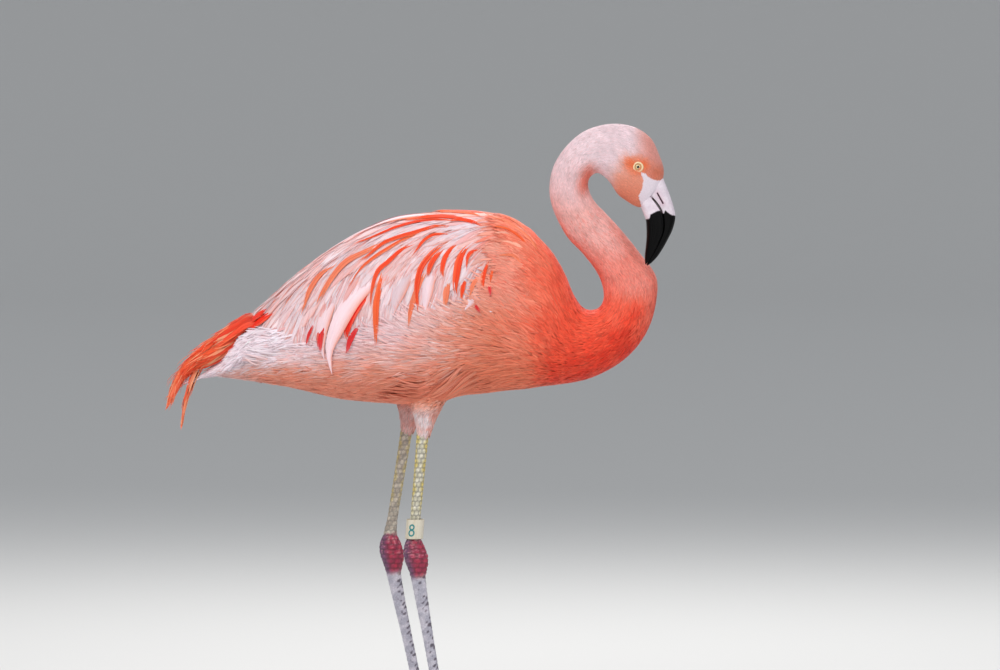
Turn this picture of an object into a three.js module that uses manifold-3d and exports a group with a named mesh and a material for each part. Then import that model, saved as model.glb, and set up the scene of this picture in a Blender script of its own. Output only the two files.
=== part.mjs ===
// A standing Chilean flamingo at life size, modelled as the closed solids of a museum figure.
// Millimetres: +X is the way the bird faces, +Y its left side, +Z up, and the soles lie on Z = 0.
// Every length of body, limb, bill and plume is a run of stations. A station is a front-or-back
// section of the outline: a dorsal point, a ventral point and half of the width across the bird.

import * as THREE from "three";
import { mergeVertices } from "three/addons/utils/BufferGeometryUtils.js";
import Module from "manifold-3d";

const wasm = await Module();
wasm.setup();

// ---------------------------------------------------------------- driving dimensions

const CUT = 0.3; // clearance between neighbouring solids
const MERGE = 1e-3; // vertices closer than this are one

// Body from the undertail to the bill root: dorsal X, dorsal Z, ventral X, ventral Z, half width.
const BODY = [
  [-283, 493, -283, 489, 3],
  [-270, 503, -267, 491, 8],
  [-248, 523, -245, 488, 18],
  [-218, 551, -216, 484, 28],
  [-185, 580, -185, 478, 38],
  [-146, 616, -149, 470, 49],
  [-101, 653, -110, 461, 60],
  [-49, 683, -62, 456, 69],
  [3, 696, -14, 454, 75],
  [46, 700, 23, 457, 78],
  [81, 700, 54, 465, 78],
  [116, 691, 84, 468, 75],
  [146, 673, 109, 471, 69],
  [168, 651, 129, 472, 63],
  [185, 622, 144, 474, 57],
  [198, 593, 155, 476, 52],
  [209, 578, 174, 478, 48],
  [219, 575, 219, 487, 43],
  [228, 577, 265, 513, 38],
  [234, 584, 293, 549, 33],
  [236, 592, 305, 592, 30],
  [235, 605, 304, 619, 28],
  [227, 625, 281, 652, 26],
  [209, 649, 261, 677, 24.5],
  [190, 669, 240, 700, 23.5],
  [177, 691, 224, 717, 22],
  [168, 713, 217, 730, 21],
  [165, 735, 215, 740, 20],
  [170, 762, 217, 748, 19.5],
  [185, 787, 222, 753, 19.5],
  [209, 808, 227, 755, 20],
  [235, 817, 235, 751, 21],
  [259, 818, 244, 742, 21.5],
  [280, 812, 254, 727, 22],
  [297, 799, 266, 718, 21],
  [307, 779, 276, 712, 18.5],
  [313, 761, 282, 710, 15.5],
  [313, 747, 284, 710, 13],
];
// Where the body is parted, in stations, and the faces of each length: around, and along.
const LENGTHS = {
  trunk: { from: 0, to: 16, around: 22, along: 18 },
  neck_base: { from: 16, to: 21, around: 20, along: 10 },
  neck_lower: { from: 21, to: 25, around: 18, along: 6 },
  neck_upper: { from: 25, to: 28, around: 18, along: 5 },
  neck_arch: { from: 28, to: 31.5, around: 18, along: 8 },
  head: { from: 31.5, to: 37, around: 20, along: 12 },
};
const STATION_CUT = 0.02; // half of a cut across the body, in stations
// The neck leaves the plane of the trunk, so that the bill hangs clear of it on the right.
const SWAY = { from: 20, to: 31, side: -26 };

const UPPER_MANDIBLE = [
  [313, 747, 296, 725, 12],
  [319, 731, 305, 715, 11],
  [325, 713, 311, 705, 9.5],
  [328, 699, 313, 694, 8.5],
  [325, 683, 313, 680, 7.5],
  [317, 666, 308, 666, 6.2],
  [306, 648, 301, 652, 4.5],
  [297, 638, 294, 640, 2.6],
  [292, 634, 291, 636, 1],
];
const LOWER_MANDIBLE = [
  [296, 724, 284, 710, 12.5],
  [304, 714, 287, 702, 13.2],
  [310, 704, 290, 694, 13.6],
  [312.5, 693, 291, 683, 13.2],
  [312, 680, 291, 670, 12],
  [307, 666, 290, 658, 10],
  [300, 651.5, 289, 648, 7.2],
  [293.5, 640, 289, 640, 4.2],
  [290.5, 636, 289.5, 636, 1.4],
];
const BILL = { sway: { root: -26, tip: -28 }, around: 12, along: 10 };

// The eyes are balls sunk in the sides of the head, by inset from its widest line at a station.
const EYE = { x: 281, z: 761, station: 34.5, inset: 5, radius: 6.5 };

// The red tail plumes, and the smaller bunch that hangs beneath, from the tip forwards.
const TAIL = [
  [-330, 465, -326, 461, 1.5],
  [-324, 483, -318, 474, 4],
  [-314, 501, -310, 487, 7],
  [-296, 521, -298, 496, 12],
  [-270, 543, -274, 504, 19],
  [-244, 562, -248, 517, 24],
  [-227, 573, -229, 531, 26],
  [-203, 575, -203, 545, 27],
];
const TAIL_DROOP = [
  [-315, 431, -313, 429, 1.2],
  [-311, 450, -311, 446, 3],
  [-303, 472, -307, 464, 5],
  [-292, 494, -300, 486, 8],
  [-280, 516, -288, 508, 9],
];

// Folded wing, in the trunk's own coordinates: share of the way from shoulder to tip, upper and
// lower edge in degrees from the back's middle line, height of the ridge that the stacked plumes
// make along the back, and thickness of the middle.
const WING = {
  front: 12.4,
  back: 2.3,
  stations: [
    [0, 52, 72, 1, 1.5],
    [0.06, 34, 88, 3, 4],
    [0.16, 18, 95, 5, 6],
    [0.34, 4, 98, 4, 7],
    [0.55, 0.7, 108, 8, 8],
    [0.75, 0.7, 106, 18, 8],
    [0.9, 3, 88, 20, 6],
    [1, 30, 70, 9, 3],
  ],
  rim: 1.6,
  sunk: 8,
  stationLength: 15, // less than the least length of body between stations under the wing
  faces: { along: 15, across: 6 },
};
// Hanging plumes of a wing: root and tip as [station, degrees], and half width at the middle.
const PLUMES = [
  { root: [8.7, 74], tip: [8.8, 94], half: 8 },
  { root: [7.6, 76], tip: [7.8, 99], half: 9 },
  { root: [6.7, 80], tip: [7.1, 112], half: 10 },
  { root: [6, 74], tip: [5.7, 143], half: 12 },
  { root: [4.8, 80], tip: [4.6, 112], half: 11 },
];
const PLUME = { thick: 2.6, thinning: 0.6, bow: 0.35, fullness: 0.75, around: 6, along: 5 };

// Legs: X and Y of the thigh's end, the shank's end, the tarsus's top and the foot joint.
const LEGS = {
  right: { side: -1, knots: [[1.5, 38], [-11.5, 36], [-6, 36], [31, 40]] },
  left: { side: 1, knots: [[-19.5, 38], [-43.5, 36], [-39, 36], [7, 40]] },
};
const KNOT_HEIGHTS = [428, 280, 228, 14];
// Leg pieces: height, forward shift of the middle, half depth, half width.
const THIGH = [
  [500, 6, 30, 24],
  [470, 5, 27, 22],
  [450, 3, 21, 18],
  [438, 2, 15, 13.5],
  [428, 2, 11.5, 10.5],
];
const SHANK = [
  [427.5, 0, 8.4, 6.6],
  [395, 0, 7.6, 6],
  [340, 0, 7, 5.6],
  [300, 0, 7, 5.8],
  [279, 0, 9, 7.2],
];
const ANKLE = [
  [278.7, 0, 9.4, 7.6],
  [270, -0.4, 13, 10],
  [260, 0, 15.6, 11.4],
  [250, 0.6, 15.2, 11.2],
  [240, 0.8, 12.4, 9.6],
  [230.3, 0.4, 9.8, 7.8],
];
const TARSUS = [
  [230, 0.4, 9.6, 7.6],
  [200, 0, 8.4, 6.2],
  [150, 0, 7, 5],
  [80, 0, 6.6, 4.8],
  [30, 0, 7.2, 5.6],
  [14.5, 0, 8.4, 7.4],
];
const KNUCKLE = [
  [14, 0, 8.2, 7.2],
  [8, 2, 9.4, 8.4],
  [-1, 3, 9, 8],
];
// Toes: turn from straight ahead (outwards is positive), length to the claw, claw length.
const TOES = {
  inner: { turn: -27, length: 60, claw: 8 },
  middle: { turn: 3, length: 72, claw: 9 },
  outer: { turn: 32, length: 66, claw: 8 },
  hind: { turn: 172, length: 15, claw: 5 },
};
const TOE = { base: 5.2, end: 3.4, height: 3.2, flatness: 0.9 };
const CLAW = { base: 2.5, end: 0.5, high: 3.8, low: 0.3, narrowness: 0.8 };
const WEB = { thick: 1.8, reach: 0.9, notch: 0.72 };
const FOOT_TURN = 5;

// The numbered ring rests on the right ankle. It is a wound strip whose ends lap.
const RING = { inner: 10, thick: 1, low: 279.4, high: 305, lap: 35, turned: -40, steps: 26 };

const COLOURS = {
  plumage: [0xef8d78, 0.85],
  pale: [0xf3c4bc, 0.85],
  scarlet: [0xe8401f, 0.8],
  billPale: [0xddd3da, 0.45],
  billDark: [0x141214, 0.35],
  iris: [0xf1d9a0, 0.15],
  legs: [0xa9a79a, 0.6],
  joint: [0x9c2a4a, 0.55],
  claw: [0x2c2826, 0.5],
  ring: [0xf2f0e8, 0.4],
};

// ---------------------------------------------------------------- geometry helpers

const radians = THREE.MathUtils.degToRad;
const smooth = (low, high, x) => THREE.MathUtils.smoothstep(x, low, high);

// Carries every vertex of a geometry to where place says, and leaves only positions.
function reshape(geometry, place) {
  const position = geometry.getAttribute("position");
  for (let i = 0; i < position.count; i++) {
    const moved = place(new THREE.Vector3().fromBufferAttribute(position, i));
    position.setXYZ(i, moved.x, moved.y, moved.z);
  }
  geometry.deleteAttribute("normal");
  geometry.deleteAttribute("uv");
  return geometry;
}

function solidOf(geometry) {
  const merged = mergeVertices(geometry, MERGE);
  const mesh = new wasm.Mesh({
    numProp: 3,
    vertProperties: merged.attributes.position.array,
    triVerts: new Uint32Array(merged.index.array),
  });
  mesh.merge();
  return new wasm.Manifold(mesh);
}

function geometryOf(solid) {
  const mesh = solid.getMesh();
  return new THREE.BufferGeometry()
    .setAttribute("position", new THREE.BufferAttribute(mesh.vertProperties, 3))
    .setIndex(new THREE.BufferAttribute(mesh.triVerts, 1));
}

// A smooth function through [place, value] pairs.
function through(pairs) {
  const curve = new THREE.SplineCurve(pairs.map(([at, value]) => new THREE.Vector2(at, value)));
  const last = pairs.length - 1;
  return (at) => {
    let i = 0;
    while (i < last - 1 && at > pairs[i + 1][0]) i++;
    const share = (at - pairs[i][0]) / (pairs[i + 1][0] - pairs[i][0]);
    return curve.getPoint((i + THREE.MathUtils.clamp(share, 0, 1)) / last).y;
  };
}

// The skin of a run of stations: at is counted in stations, angle runs from the dorsal line (0)
// over the left side, and lift moves a point out along the skin's normal.
class Skin {
  constructor(stations, sway = () => 0) {
    const curve = (x, z) =>
      new THREE.CatmullRomCurve3(stations.map((s) => new THREE.Vector3(s[x], 0, s[z])));
    this.last = stations.length - 1;
    this.dorsal = curve(0, 1);
    this.ventral = curve(2, 3);
    this.halfWidth = through(stations.map((s, i) => [i, s[4]]));
    this.sway = sway;
  }
  section(at) {
    const dorsal = this.dorsal.getPoint(at / this.last);
    const ventral = this.ventral.getPoint(at / this.last);
    const middle = dorsal.clone().lerp(ventral, 0.5).setY(this.sway(at));
    return { middle, up: dorsal.sub(ventral).multiplyScalar(0.5), half: this.halfWidth(at) };
  }
  flat(at, angle, share = 1) {
    const { middle, up, half } = this.section(at);
    middle.addScaledVector(up, share * Math.cos(angle));
    middle.y += share * half * Math.sin(angle);
    return middle;
  }
  normal(at, angle) {
    const step = 0.02;
    const ahead = THREE.MathUtils.clamp(at + step, 2 * step, this.last);
    const along = this.flat(ahead, angle).sub(this.flat(ahead - 2 * step, angle));
    const round = this.flat(at, angle + step).sub(this.flat(at, angle - step));
    return along.cross(round).normalize();
  }
  point(at, angle, lift) {
    const place = this.flat(at, angle);
    return lift ? place.addScaledVector(this.normal(at, angle), lift) : place;
  }
}

// A closed length of a skin between two places, its sides and ends swollen by grow.
function lengthOf(skin, from, to, around, along, grow = 0) {
  const ahead = skin.flat(to, 0, 0).sub(skin.flat(from, 0, 0)).normalize();
  return reshape(new THREE.CylinderGeometry(1, 1, 1, around, along), (p) => {
    const at = from + (0.5 - p.y) * (to - from);
    const onAxis = Math.hypot(p.x, p.z) < 0.5;
    const angle = Math.atan2(p.x, p.z);
    const place = onAxis ? skin.flat(at, 0, 0) : skin.point(at, angle, grow);
    if (Math.abs(p.y) === 0.5) place.addScaledVector(ahead, -2 * p.y * grow);
    return place;
  });
}

// A closed limb down a centre line: stations of height, forward shift, half depth, half width.
function limb(stations, line, around, along) {
  const forward = through(stations.map((s) => [-s[0], s[1]]));
  const depth = through(stations.map((s) => [-s[0], s[2]]));
  const width = through(stations.map((s) => [-s[0], s[3]]));
  const top = stations[0][0];
  const bottom = stations[stations.length - 1][0];
  return reshape(new THREE.CylinderGeometry(1, 1, 1, around, along), (p) => {
    const z = top + (0.5 - p.y) * (bottom - top);
    const middle = line(z);
    return new THREE.Vector3(
      middle.x + forward(-z) + p.z * depth(-z),
      middle.y + p.x * width(-z),
      z,
    );
  });
}

// ---------------------------------------------------------------- body, neck and head

const bodySway = (at) => SWAY.side * smooth(SWAY.from, SWAY.to, at);
const body = new Skin(BODY, bodySway);

function bodyLength(name, grow = 0) {
  const { from, to, around, along } = LENGTHS[name];
  return lengthOf(body, from + STATION_CUT, to - STATION_CUT, around, along, grow);
}

const trunkSwollen = solidOf(bodyLength("trunk", CUT));

function eye(side, radius = EYE.radius) {
  const out = side * (body.halfWidth(EYE.station) - EYE.inset);
  const centre = new THREE.Vector3(EYE.x, bodySway(EYE.station) + out, EYE.z);
  const ball = new THREE.SphereGeometry(radius, 10, 8).rotateX(Math.PI / 2);
  return reshape(ball, (p) => p.add(centre));
}

function head() {
  const [right, left] = [-1, 1].map((side) => solidOf(eye(side, EYE.radius + CUT)));
  return solidOf(bodyLength("head")).subtract(right).subtract(left);
}

function mandible(stations) {
  const { root, tip } = BILL.sway;
  const skin = new Skin(stations, (at) => THREE.MathUtils.lerp(root, tip, at / skin.last));
  return lengthOf(skin, 2 * STATION_CUT, skin.last, BILL.around, BILL.along);
}

// ---------------------------------------------------------------- tail and wings

const wingColumn = (column) => through(WING.stations.map((s) => [s[0], s[column]]));
const [wingTop, wingLow, wingRidge, wingMiddle] = [1, 2, 3, 4].map(wingColumn);

// Height of the wing's outer face over the trunk at a share of its length and of its width.
function wingLift(share, across) {
  const ridge = wingRidge(share) * (1 - across) ** 2;
  const middle = wingMiddle(share) * Math.sqrt(Math.max(0, Math.sin(Math.PI * across)));
  return CUT + WING.rim + ridge + middle;
}

// The wing as a bent sheet, its inner face sunk in the trunk, swollen by grow.
function wingShell(side, grow) {
  const { along, across } = WING.faces;
  return reshape(new THREE.BoxGeometry(1, 1, 1, along, across, 1), (p) => {
    const share = 0.5 - p.x;
    const down = 0.5 + side * p.y;
    const margin = (p.x * grow) / WING.stationLength;
    const at = THREE.MathUtils.lerp(WING.front, WING.back, share) + margin;
    const angle = radians(THREE.MathUtils.lerp(wingTop(share), wingLow(share), down));
    const wider = ((2 * down - 1) * grow) / body.halfWidth(at);
    const lift = p.z > 0 ? wingLift(share, down) + grow : -WING.sunk;
    return body.point(at, side * (angle + wider), lift);
  });
}

// A tapering plume that lies on the wing, its line bowed back between root and tip.
function plume({ root, tip, half }, side, grow) {
  const line = (s) => {
    const at = THREE.MathUtils.lerp(root[0], tip[0], s) - PLUME.bow * Math.sin(Math.PI * s);
    const degrees = THREE.MathUtils.lerp(root[1], tip[1], s);
    const share = (WING.front - at) / (WING.front - WING.back);
    const across = Math.min(1, (degrees - wingTop(share)) / (wingLow(share) - wingTop(share)));
    const angle = side * radians(degrees);
    return { middle: body.point(at, angle, wingLift(share, across)), out: body.normal(at, angle) };
  };
  return reshape(new THREE.CylinderGeometry(1, 1, 1, PLUME.around, PLUME.along), (p) => {
    const s = 0.5 - p.y;
    const { middle, out } = line(s);
    const ahead = line(s + 0.02).middle.sub(line(s - 0.02).middle).normalize();
    const across = out.clone().cross(ahead).normalize();
    const taper = Math.sqrt(Math.max(0.004, Math.sin(0.98 * Math.PI * s ** PLUME.fullness)));
    middle.addScaledVector(across, p.x * (half * taper + grow));
    return middle.addScaledVector(out, p.z * (PLUME.thick * (1 - PLUME.thinning * s) + grow));
  });
}

// A wing with its plumes, still sunk in the trunk.
function wing(side, grow = 0) {
  let solid = solidOf(wingShell(side, grow));
  for (const each of PLUMES) solid = solid.add(solidOf(plume(each, side, grow)));
  return solid;
}

function bunch(stations, around, along) {
  const skin = new Skin(stations);
  return solidOf(lengthOf(skin, 0, skin.last, around, along));
}

// The tail's root passes between the wing tips, and its underside lies on the trunk.
function tail() {
  const bunches = bunch(TAIL, 12, 10).add(bunch(TAIL_DROOP, 8, 5));
  return bunches
    .subtract(trunkSwollen)
    .subtract(wing(-1, 2 * CUT))
    .subtract(wing(1, 2 * CUT));
}

// ---------------------------------------------------------------- legs and feet

// The leg's centre line: straight from knot to knot.
function legLine({ side, knots }) {
  return (z) => {
    const lower = KNOT_HEIGHTS.findIndex((height, i) => i > 0 && z >= height);
    const i = lower < 0 ? KNOT_HEIGHTS.length - 1 : lower;
    const [above, below] = [KNOT_HEIGHTS[i - 1], KNOT_HEIGHTS[i]];
    const share = (above - z) / (above - below);
    const x = THREE.MathUtils.lerp(knots[i - 1][0], knots[i][0], share);
    return new THREE.Vector3(x, side * THREE.MathUtils.lerp(knots[i - 1][1], knots[i][1], share), z);
  };
}

function thigh(leg) {
  return solidOf(limb(THIGH, legLine(leg), 12, 5)).subtract(trunkSwollen);
}

// Carries a point from a toe's own frame, with its length along X, to its place under the leg.
function toeFrame(leg, turn) {
  const root = legLine(leg)(KNOT_HEIGHTS[3]).setZ(0);
  const heading = radians(leg.side * (turn + FOOT_TURN));
  return (p) => p.applyAxisAngle(new THREE.Vector3(0, 0, 1), heading).add(root);
}

// A toe from the foot joint, with a flat end where the claw sits.
function toe(leg, { turn, length }) {
  const place = toeFrame(leg, turn);
  return reshape(new THREE.CylinderGeometry(1, 1, 1, 8, 3), (p) => {
    const s = 0.5 - p.y;
    const radius = THREE.MathUtils.lerp(TOE.base, TOE.end, s);
    const height = TOE.height + p.z * radius * TOE.flatness;
    return place(new THREE.Vector3(s * length, p.x * radius, height));
  });
}

// The claw goes on from the toe's end and bends down to the floor.
function claw(leg, { turn, length, claw: reach }) {
  const place = toeFrame(leg, turn);
  const solid = solidOf(
    reshape(new THREE.CylinderGeometry(1, 1, 1, 5, 3), (p) => {
      const s = 0.5 - p.y;
      const radius = CLAW.base * (1 - s) ** 0.6 + CLAW.end;
      const height = THREE.MathUtils.lerp(CLAW.high, CLAW.low, s * s) + p.z * radius;
      const forward = length + CUT + s * reach;
      return place(new THREE.Vector3(forward, p.x * radius * CLAW.narrowness, height));
    }),
  );
  return solid.trimByPlane([0, 0, 1], 0);
}

// Skin between two toes: a sheet whose free edge is drawn in.
function web(leg, from, to) {
  const tip = (t) => toeFrame(leg, t.turn)(new THREE.Vector3(t.length * WEB.reach, 0, 0));
  const root = toeFrame(leg, 0)(new THREE.Vector3());
  const [a, b] = [tip(from), tip(to)];
  const pull = root.clone().lerp(a.clone().lerp(b, 0.5), WEB.notch);
  const outline = new THREE.Shape().moveTo(root.x, root.y).lineTo(a.x, a.y);
  outline.quadraticCurveTo(pull.x, pull.y, b.x, b.y);
  const depth = WEB.thick;
  const sheet = new THREE.ExtrudeGeometry(outline, { depth, bevelEnabled: false, curveSegments: 4 });
  return reshape(sheet, (p) => p);
}

// The foot, trimmed flat where it stands on the floor.
function foot(leg) {
  let solid = solidOf(limb(KNUCKLE, legLine(leg), 10, 3));
  for (const each of Object.values(TOES)) solid = solid.add(solidOf(toe(leg, each)));
  solid = solid.add(solidOf(web(leg, TOES.inner, TOES.middle)));
  solid = solid.add(solidOf(web(leg, TOES.middle, TOES.outer)));
  return solid.trimByPlane([0, 0, 1], 0);
}

// The ring's outline is a spiral that steps out by its own thickness where the ends lap.
function ring() {
  const turns = 2 * Math.PI + radians(RING.lap);
  const spiral = (i, out) => {
    const angle = (turns * i) / RING.steps;
    const radius = RING.inner + (RING.thick + CUT) * smooth(0, turns, angle) + out;
    return [radius * Math.cos(angle), radius * Math.sin(angle)];
  };
  const outline = new THREE.Shape().moveTo(...spiral(0, 0));
  for (let i = 0; i <= RING.steps; i++) outline.lineTo(...spiral(i, RING.thick - CUT));
  for (let i = RING.steps; i > 0; i--) outline.lineTo(...spiral(i, 0));
  const depth = RING.high - RING.low;
  const band = new THREE.ExtrudeGeometry(outline, { depth, bevelEnabled: false });
  const line = legLine(LEGS.right);
  return reshape(band.rotateZ(radians(RING.turned)), (p) => {
    const middle = line(RING.low + p.z);
    return p.set(p.x + middle.x, p.y + middle.y, middle.z);
  });
}

// ---------------------------------------------------------------- the bird

const bird = new THREE.Group();

function add(name, shape, colour) {
  const geometry = shape.isBufferGeometry ? shape : geometryOf(shape);
  const [color, roughness] = COLOURS[colour];
  const material = new THREE.MeshStandardMaterial({ color, roughness, metalness: 0 });
  const mesh = new THREE.Mesh(geometry, material);
  mesh.name = name;
  bird.add(mesh);
}

for (const name of ["trunk", "neck_base", "neck_lower"]) add(name, bodyLength(name), "plumage");
for (const name of ["neck_upper", "neck_arch"]) add(name, bodyLength(name), "pale");
add("head", head(), "pale");
add("bill_upper", mandible(UPPER_MANDIBLE), "billDark");
add("bill_lower", mandible(LOWER_MANDIBLE), "billPale");
add("tail", tail(), "scarlet");

for (const [name, leg] of Object.entries(LEGS)) {
  add(`eye_${name}`, eye(leg.side), "iris");
  add(`wing_${name}`, wing(leg.side).subtract(trunkSwollen), "pale");
  add(`thigh_${name}`, thigh(leg), "plumage");
  add(`shank_${name}`, limb(SHANK, legLine(leg), 10, 5), "legs");
  add(`ankle_${name}`, limb(ANKLE, legLine(leg), 12, 7), "joint");
  add(`tarsus_${name}`, limb(TARSUS, legLine(leg), 10, 6), "legs");
  add(`foot_${name}`, foot(leg), "joint");
  for (const [which, toeSizes] of Object.entries(TOES)) {
    add(`claw_${name}_${which}`, claw(leg, toeSizes), "claw");
  }
}
add("leg_ring", ring(), "ring");

// The origin is on the floor under the middle of the bird's bounding box.
const bounds = new THREE.Box3().setFromObject(bird, true);
const middle = bounds.getCenter(new THREE.Vector3());
bird.position.set(-middle.x, -middle.y, -bounds.min.z);

export default bird;
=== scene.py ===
"""Finish of a life-size Chilean flamingo: skin, plumage, bill, eyes, legs and ring.

All shapes are worked out in millimetres from runs of stations, as the solids are, and are put
into meshes in metres. +X is the way the bird faces, +Y its left side and +Z up.
"""

import math

import bpy
import numpy as np
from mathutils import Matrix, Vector


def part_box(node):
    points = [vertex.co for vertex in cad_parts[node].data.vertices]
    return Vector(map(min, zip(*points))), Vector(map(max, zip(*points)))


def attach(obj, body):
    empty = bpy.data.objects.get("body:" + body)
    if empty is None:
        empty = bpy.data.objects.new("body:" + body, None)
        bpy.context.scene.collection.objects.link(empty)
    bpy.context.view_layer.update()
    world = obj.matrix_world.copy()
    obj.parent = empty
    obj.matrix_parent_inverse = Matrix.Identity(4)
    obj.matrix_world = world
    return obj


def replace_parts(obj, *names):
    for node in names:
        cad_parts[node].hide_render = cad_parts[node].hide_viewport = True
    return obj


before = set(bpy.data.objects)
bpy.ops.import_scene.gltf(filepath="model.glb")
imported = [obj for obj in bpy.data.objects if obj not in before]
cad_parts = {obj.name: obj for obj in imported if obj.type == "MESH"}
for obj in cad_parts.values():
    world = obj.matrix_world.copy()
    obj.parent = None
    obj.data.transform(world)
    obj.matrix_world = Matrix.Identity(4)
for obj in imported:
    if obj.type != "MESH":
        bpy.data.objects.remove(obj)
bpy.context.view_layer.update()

METRE = 0.001
EYE_X = 281.0
LOW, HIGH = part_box("eye_right")
SHIFT = np.array([(LOW[0] + HIGH[0]) / 2 / METRE - EYE_X, 0.0, 0.0])

# ---------------------------------------------------------------- stations

# Body from the undertail to the bill root: dorsal X, dorsal Z, ventral X, ventral Z, half width.
BODY = np.array([
    [-283, 493, -283, 489, 3], [-270, 503, -267, 491, 8], [-248, 523, -245, 488, 18],
    [-218, 551, -216, 484, 28], [-185, 580, -185, 478, 38], [-146, 616, -149, 470, 49],
    [-101, 653, -110, 461, 60], [-49, 683, -62, 456, 69], [3, 696, -14, 454, 75],
    [46, 700, 23, 457, 78], [81, 700, 54, 465, 78], [116, 691, 84, 468, 75],
    [146, 673, 109, 471, 69], [168, 651, 129, 472, 63], [185, 622, 144, 474, 57],
    [198, 593, 155, 476, 52], [209, 578, 174, 478, 48], [219, 575, 219, 487, 43],
    [228, 577, 265, 513, 38], [234, 584, 293, 549, 33], [236, 592, 305, 592, 30],
    [235, 605, 304, 619, 28], [227, 625, 281, 652, 26], [209, 649, 261, 677, 24.5],
    [190, 669, 240, 700, 23.5], [177, 691, 224, 717, 22], [168, 713, 217, 730, 21],
    [165, 735, 215, 740, 20], [170, 762, 217, 748, 19.5], [185, 787, 222, 753, 19.5],
    [209, 808, 227, 755, 20], [235, 817, 235, 751, 21], [259, 818, 244, 742, 21.5],
    [280, 812, 254, 727, 22], [297, 799, 266, 718, 21], [307, 779, 276, 712, 18.5],
    [313, 761, 282, 710, 15.5], [313, 747, 284, 710, 13],
])
SWAY = {"from": 20, "to": 31, "side": -26}

UPPER_MANDIBLE = np.array([
    [313, 747, 296, 725, 12], [319, 731, 305, 715, 11], [325, 713, 311, 705, 9.5],
    [328, 699, 313, 694, 8.5], [325, 683, 313, 680, 7.5], [317, 666, 308, 666, 6.2],
    [306, 648, 301, 652, 4.5], [297, 638, 294, 640, 2.6], [292, 634, 291, 636, 1],
])
LOWER_MANDIBLE = np.array([
    [296, 724, 284, 710, 12.5], [304, 714, 287, 702, 13.2], [310, 704, 290, 694, 13.6],
    [312.5, 693, 291, 683, 13.2], [312, 680, 291, 670, 12], [307, 666, 290, 658, 10],
    [300, 651.5, 289, 648, 7.2], [293.5, 640, 289, 640, 4.2], [290.5, 636, 289.5, 636, 1.4],
])
BILL_SWAY = (-26, -28)
EYE = {"x": 279.6, "z": 763, "station": 34.5, "inset": 5, "radius": 6.5}

TAIL = np.array([
    [-330, 465, -326, 461, 1.5], [-324, 483, -318, 474, 4], [-314, 501, -310, 487, 7],
    [-296, 521, -298, 496, 12], [-270, 543, -274, 504, 19], [-244, 562, -248, 517, 24],
    [-227, 573, -229, 531, 26], [-203, 575, -203, 545, 27],
])
TAIL_DROOP = np.array([
    [-313, 429, -315, 431, 1.2], [-309, 447, -313, 449, 3], [-303, 466, -309, 470, 5],
    [-294, 486, -301, 494, 8], [-280, 508, -289, 516, 9],
]) * (1, 1, 1, 1, -1)
# Folded wing: share of its length, upper and lower edge in degrees, ridge, middle thickness.
WING = np.array([
    [0, 52, 72, 1, 1.5], [0.06, 34, 88, 3, 4], [0.16, 18, 95, 5, 6], [0.34, 4, 98, 4, 7],
    [0.55, 0.7, 108, 8, 8], [0.75, 0.7, 106, 18, 8], [0.9, 3, 88, 20, 6], [1, 30, 70, 9, 3],
])
WING_FRONT, WING_BACK = 12.4, 2.3
WING_RIM = 1.9

# Legs: X and Y of the thigh's end, the shank's end, the tarsus's top and the foot joint.
LEGS = {
    "right": (-1, [(1.5, 38), (-11.5, 36), (-6, 36), (31, 40)]),
    "left": (1, [(-19.5, 38), (-43.5, 36), (-39, 36), (7, 40)]),
}
KNOT_HEIGHTS = [428, 280, 228, 14]
KNOT_SPREAD = (-6, -3, 0, 3, 6)
# Height, forward shift, half depth and half width of the bare leg under the thigh's plumage.
LEG = np.array([
    [492, 6, 20, 17], [470, 5, 19, 16], [450, 3, 14, 12.5], [436, 2, 9.4, 8], [424, 0, 8.2, 6.6],
    [395, 0, 7.6, 6], [340, 0, 7, 5.6], [300, 0, 7, 5.8], [279, 0, 9.2, 7.4],
    [270, -0.4, 13, 10], [260, 0, 15.6, 11.4], [250, 0.6, 15.2, 11.2], [240, 0.8, 12.4, 9.6],
    [230, 0.4, 9.8, 7.8], [200, 0, 8.4, 6.2], [150, 0, 7, 5], [80, 0, 6.6, 4.8],
    [30, 0, 7.2, 5.6], [14, 0, 8.2, 7.2], [8, 2, 9.2, 8.2], [1, 3, 8.6, 7.6],
])
# Outer size of the thigh's plumage: height, forward shift, half depth, half width.
THIGH = np.array([
    [417, 1.5, 8.8, 7.4], [428, 2, 11.5, 10.5], [438, 2, 15, 13.5], [450, 3, 21, 18],
    [470, 5, 27, 22], [500, 6, 30, 24],
])
TOES = {
    "inner": {"turn": -27, "length": 60, "claw": 8, "joints": (0.42, 0.75)},
    "middle": {"turn": 3, "length": 72, "claw": 9, "joints": (0.34, 0.6, 0.83)},
    "outer": {"turn": 32, "length": 66, "claw": 8, "joints": (0.3, 0.52, 0.7, 0.87)},
    "hind": {"turn": 172, "length": 15, "claw": 5, "joints": (0.6,)},
}
FOOT_TURN = 5
RING = {
    "inner": 10, "thick": 1, "gap": 0.3, "round": 0.35, "low": 279.4, "high": 305, "lap": 35,
    "turned": -40,
}
RING_TURNS = 2 * math.pi + math.radians(RING["lap"])
# The ring's numeral: height and turn of its middle, and each of its rings' height and radius.
NUMERAL = {
    "height": 291.2, "aim": -0.30, "radius": 11.3, "stroke": 1.6, "thick": 0.42,
    "rings": ((3.7, 2.7), (-3.7, 3.2)), "tint": (28, 128, 132),
}
# Claw: radius at its root, of its blunt tip, and heights of its middle at both ends.
CLAW = {"radius": 2.6, "blunt": 0.35, "root": 3.9, "tip": 0.5}
# Bare ring round the eye: radius to its middle, half width, how oval it is, and its ridges' pitch;
# how far out it lies, how high it is, and how much it slopes away.
LID = {
    "radius": 5.75, "half": 1.65, "oval": 0.05, "ridges": 1.1, "out": 5.62, "height": 1.05,
    "slope": 0.22,
}
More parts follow.
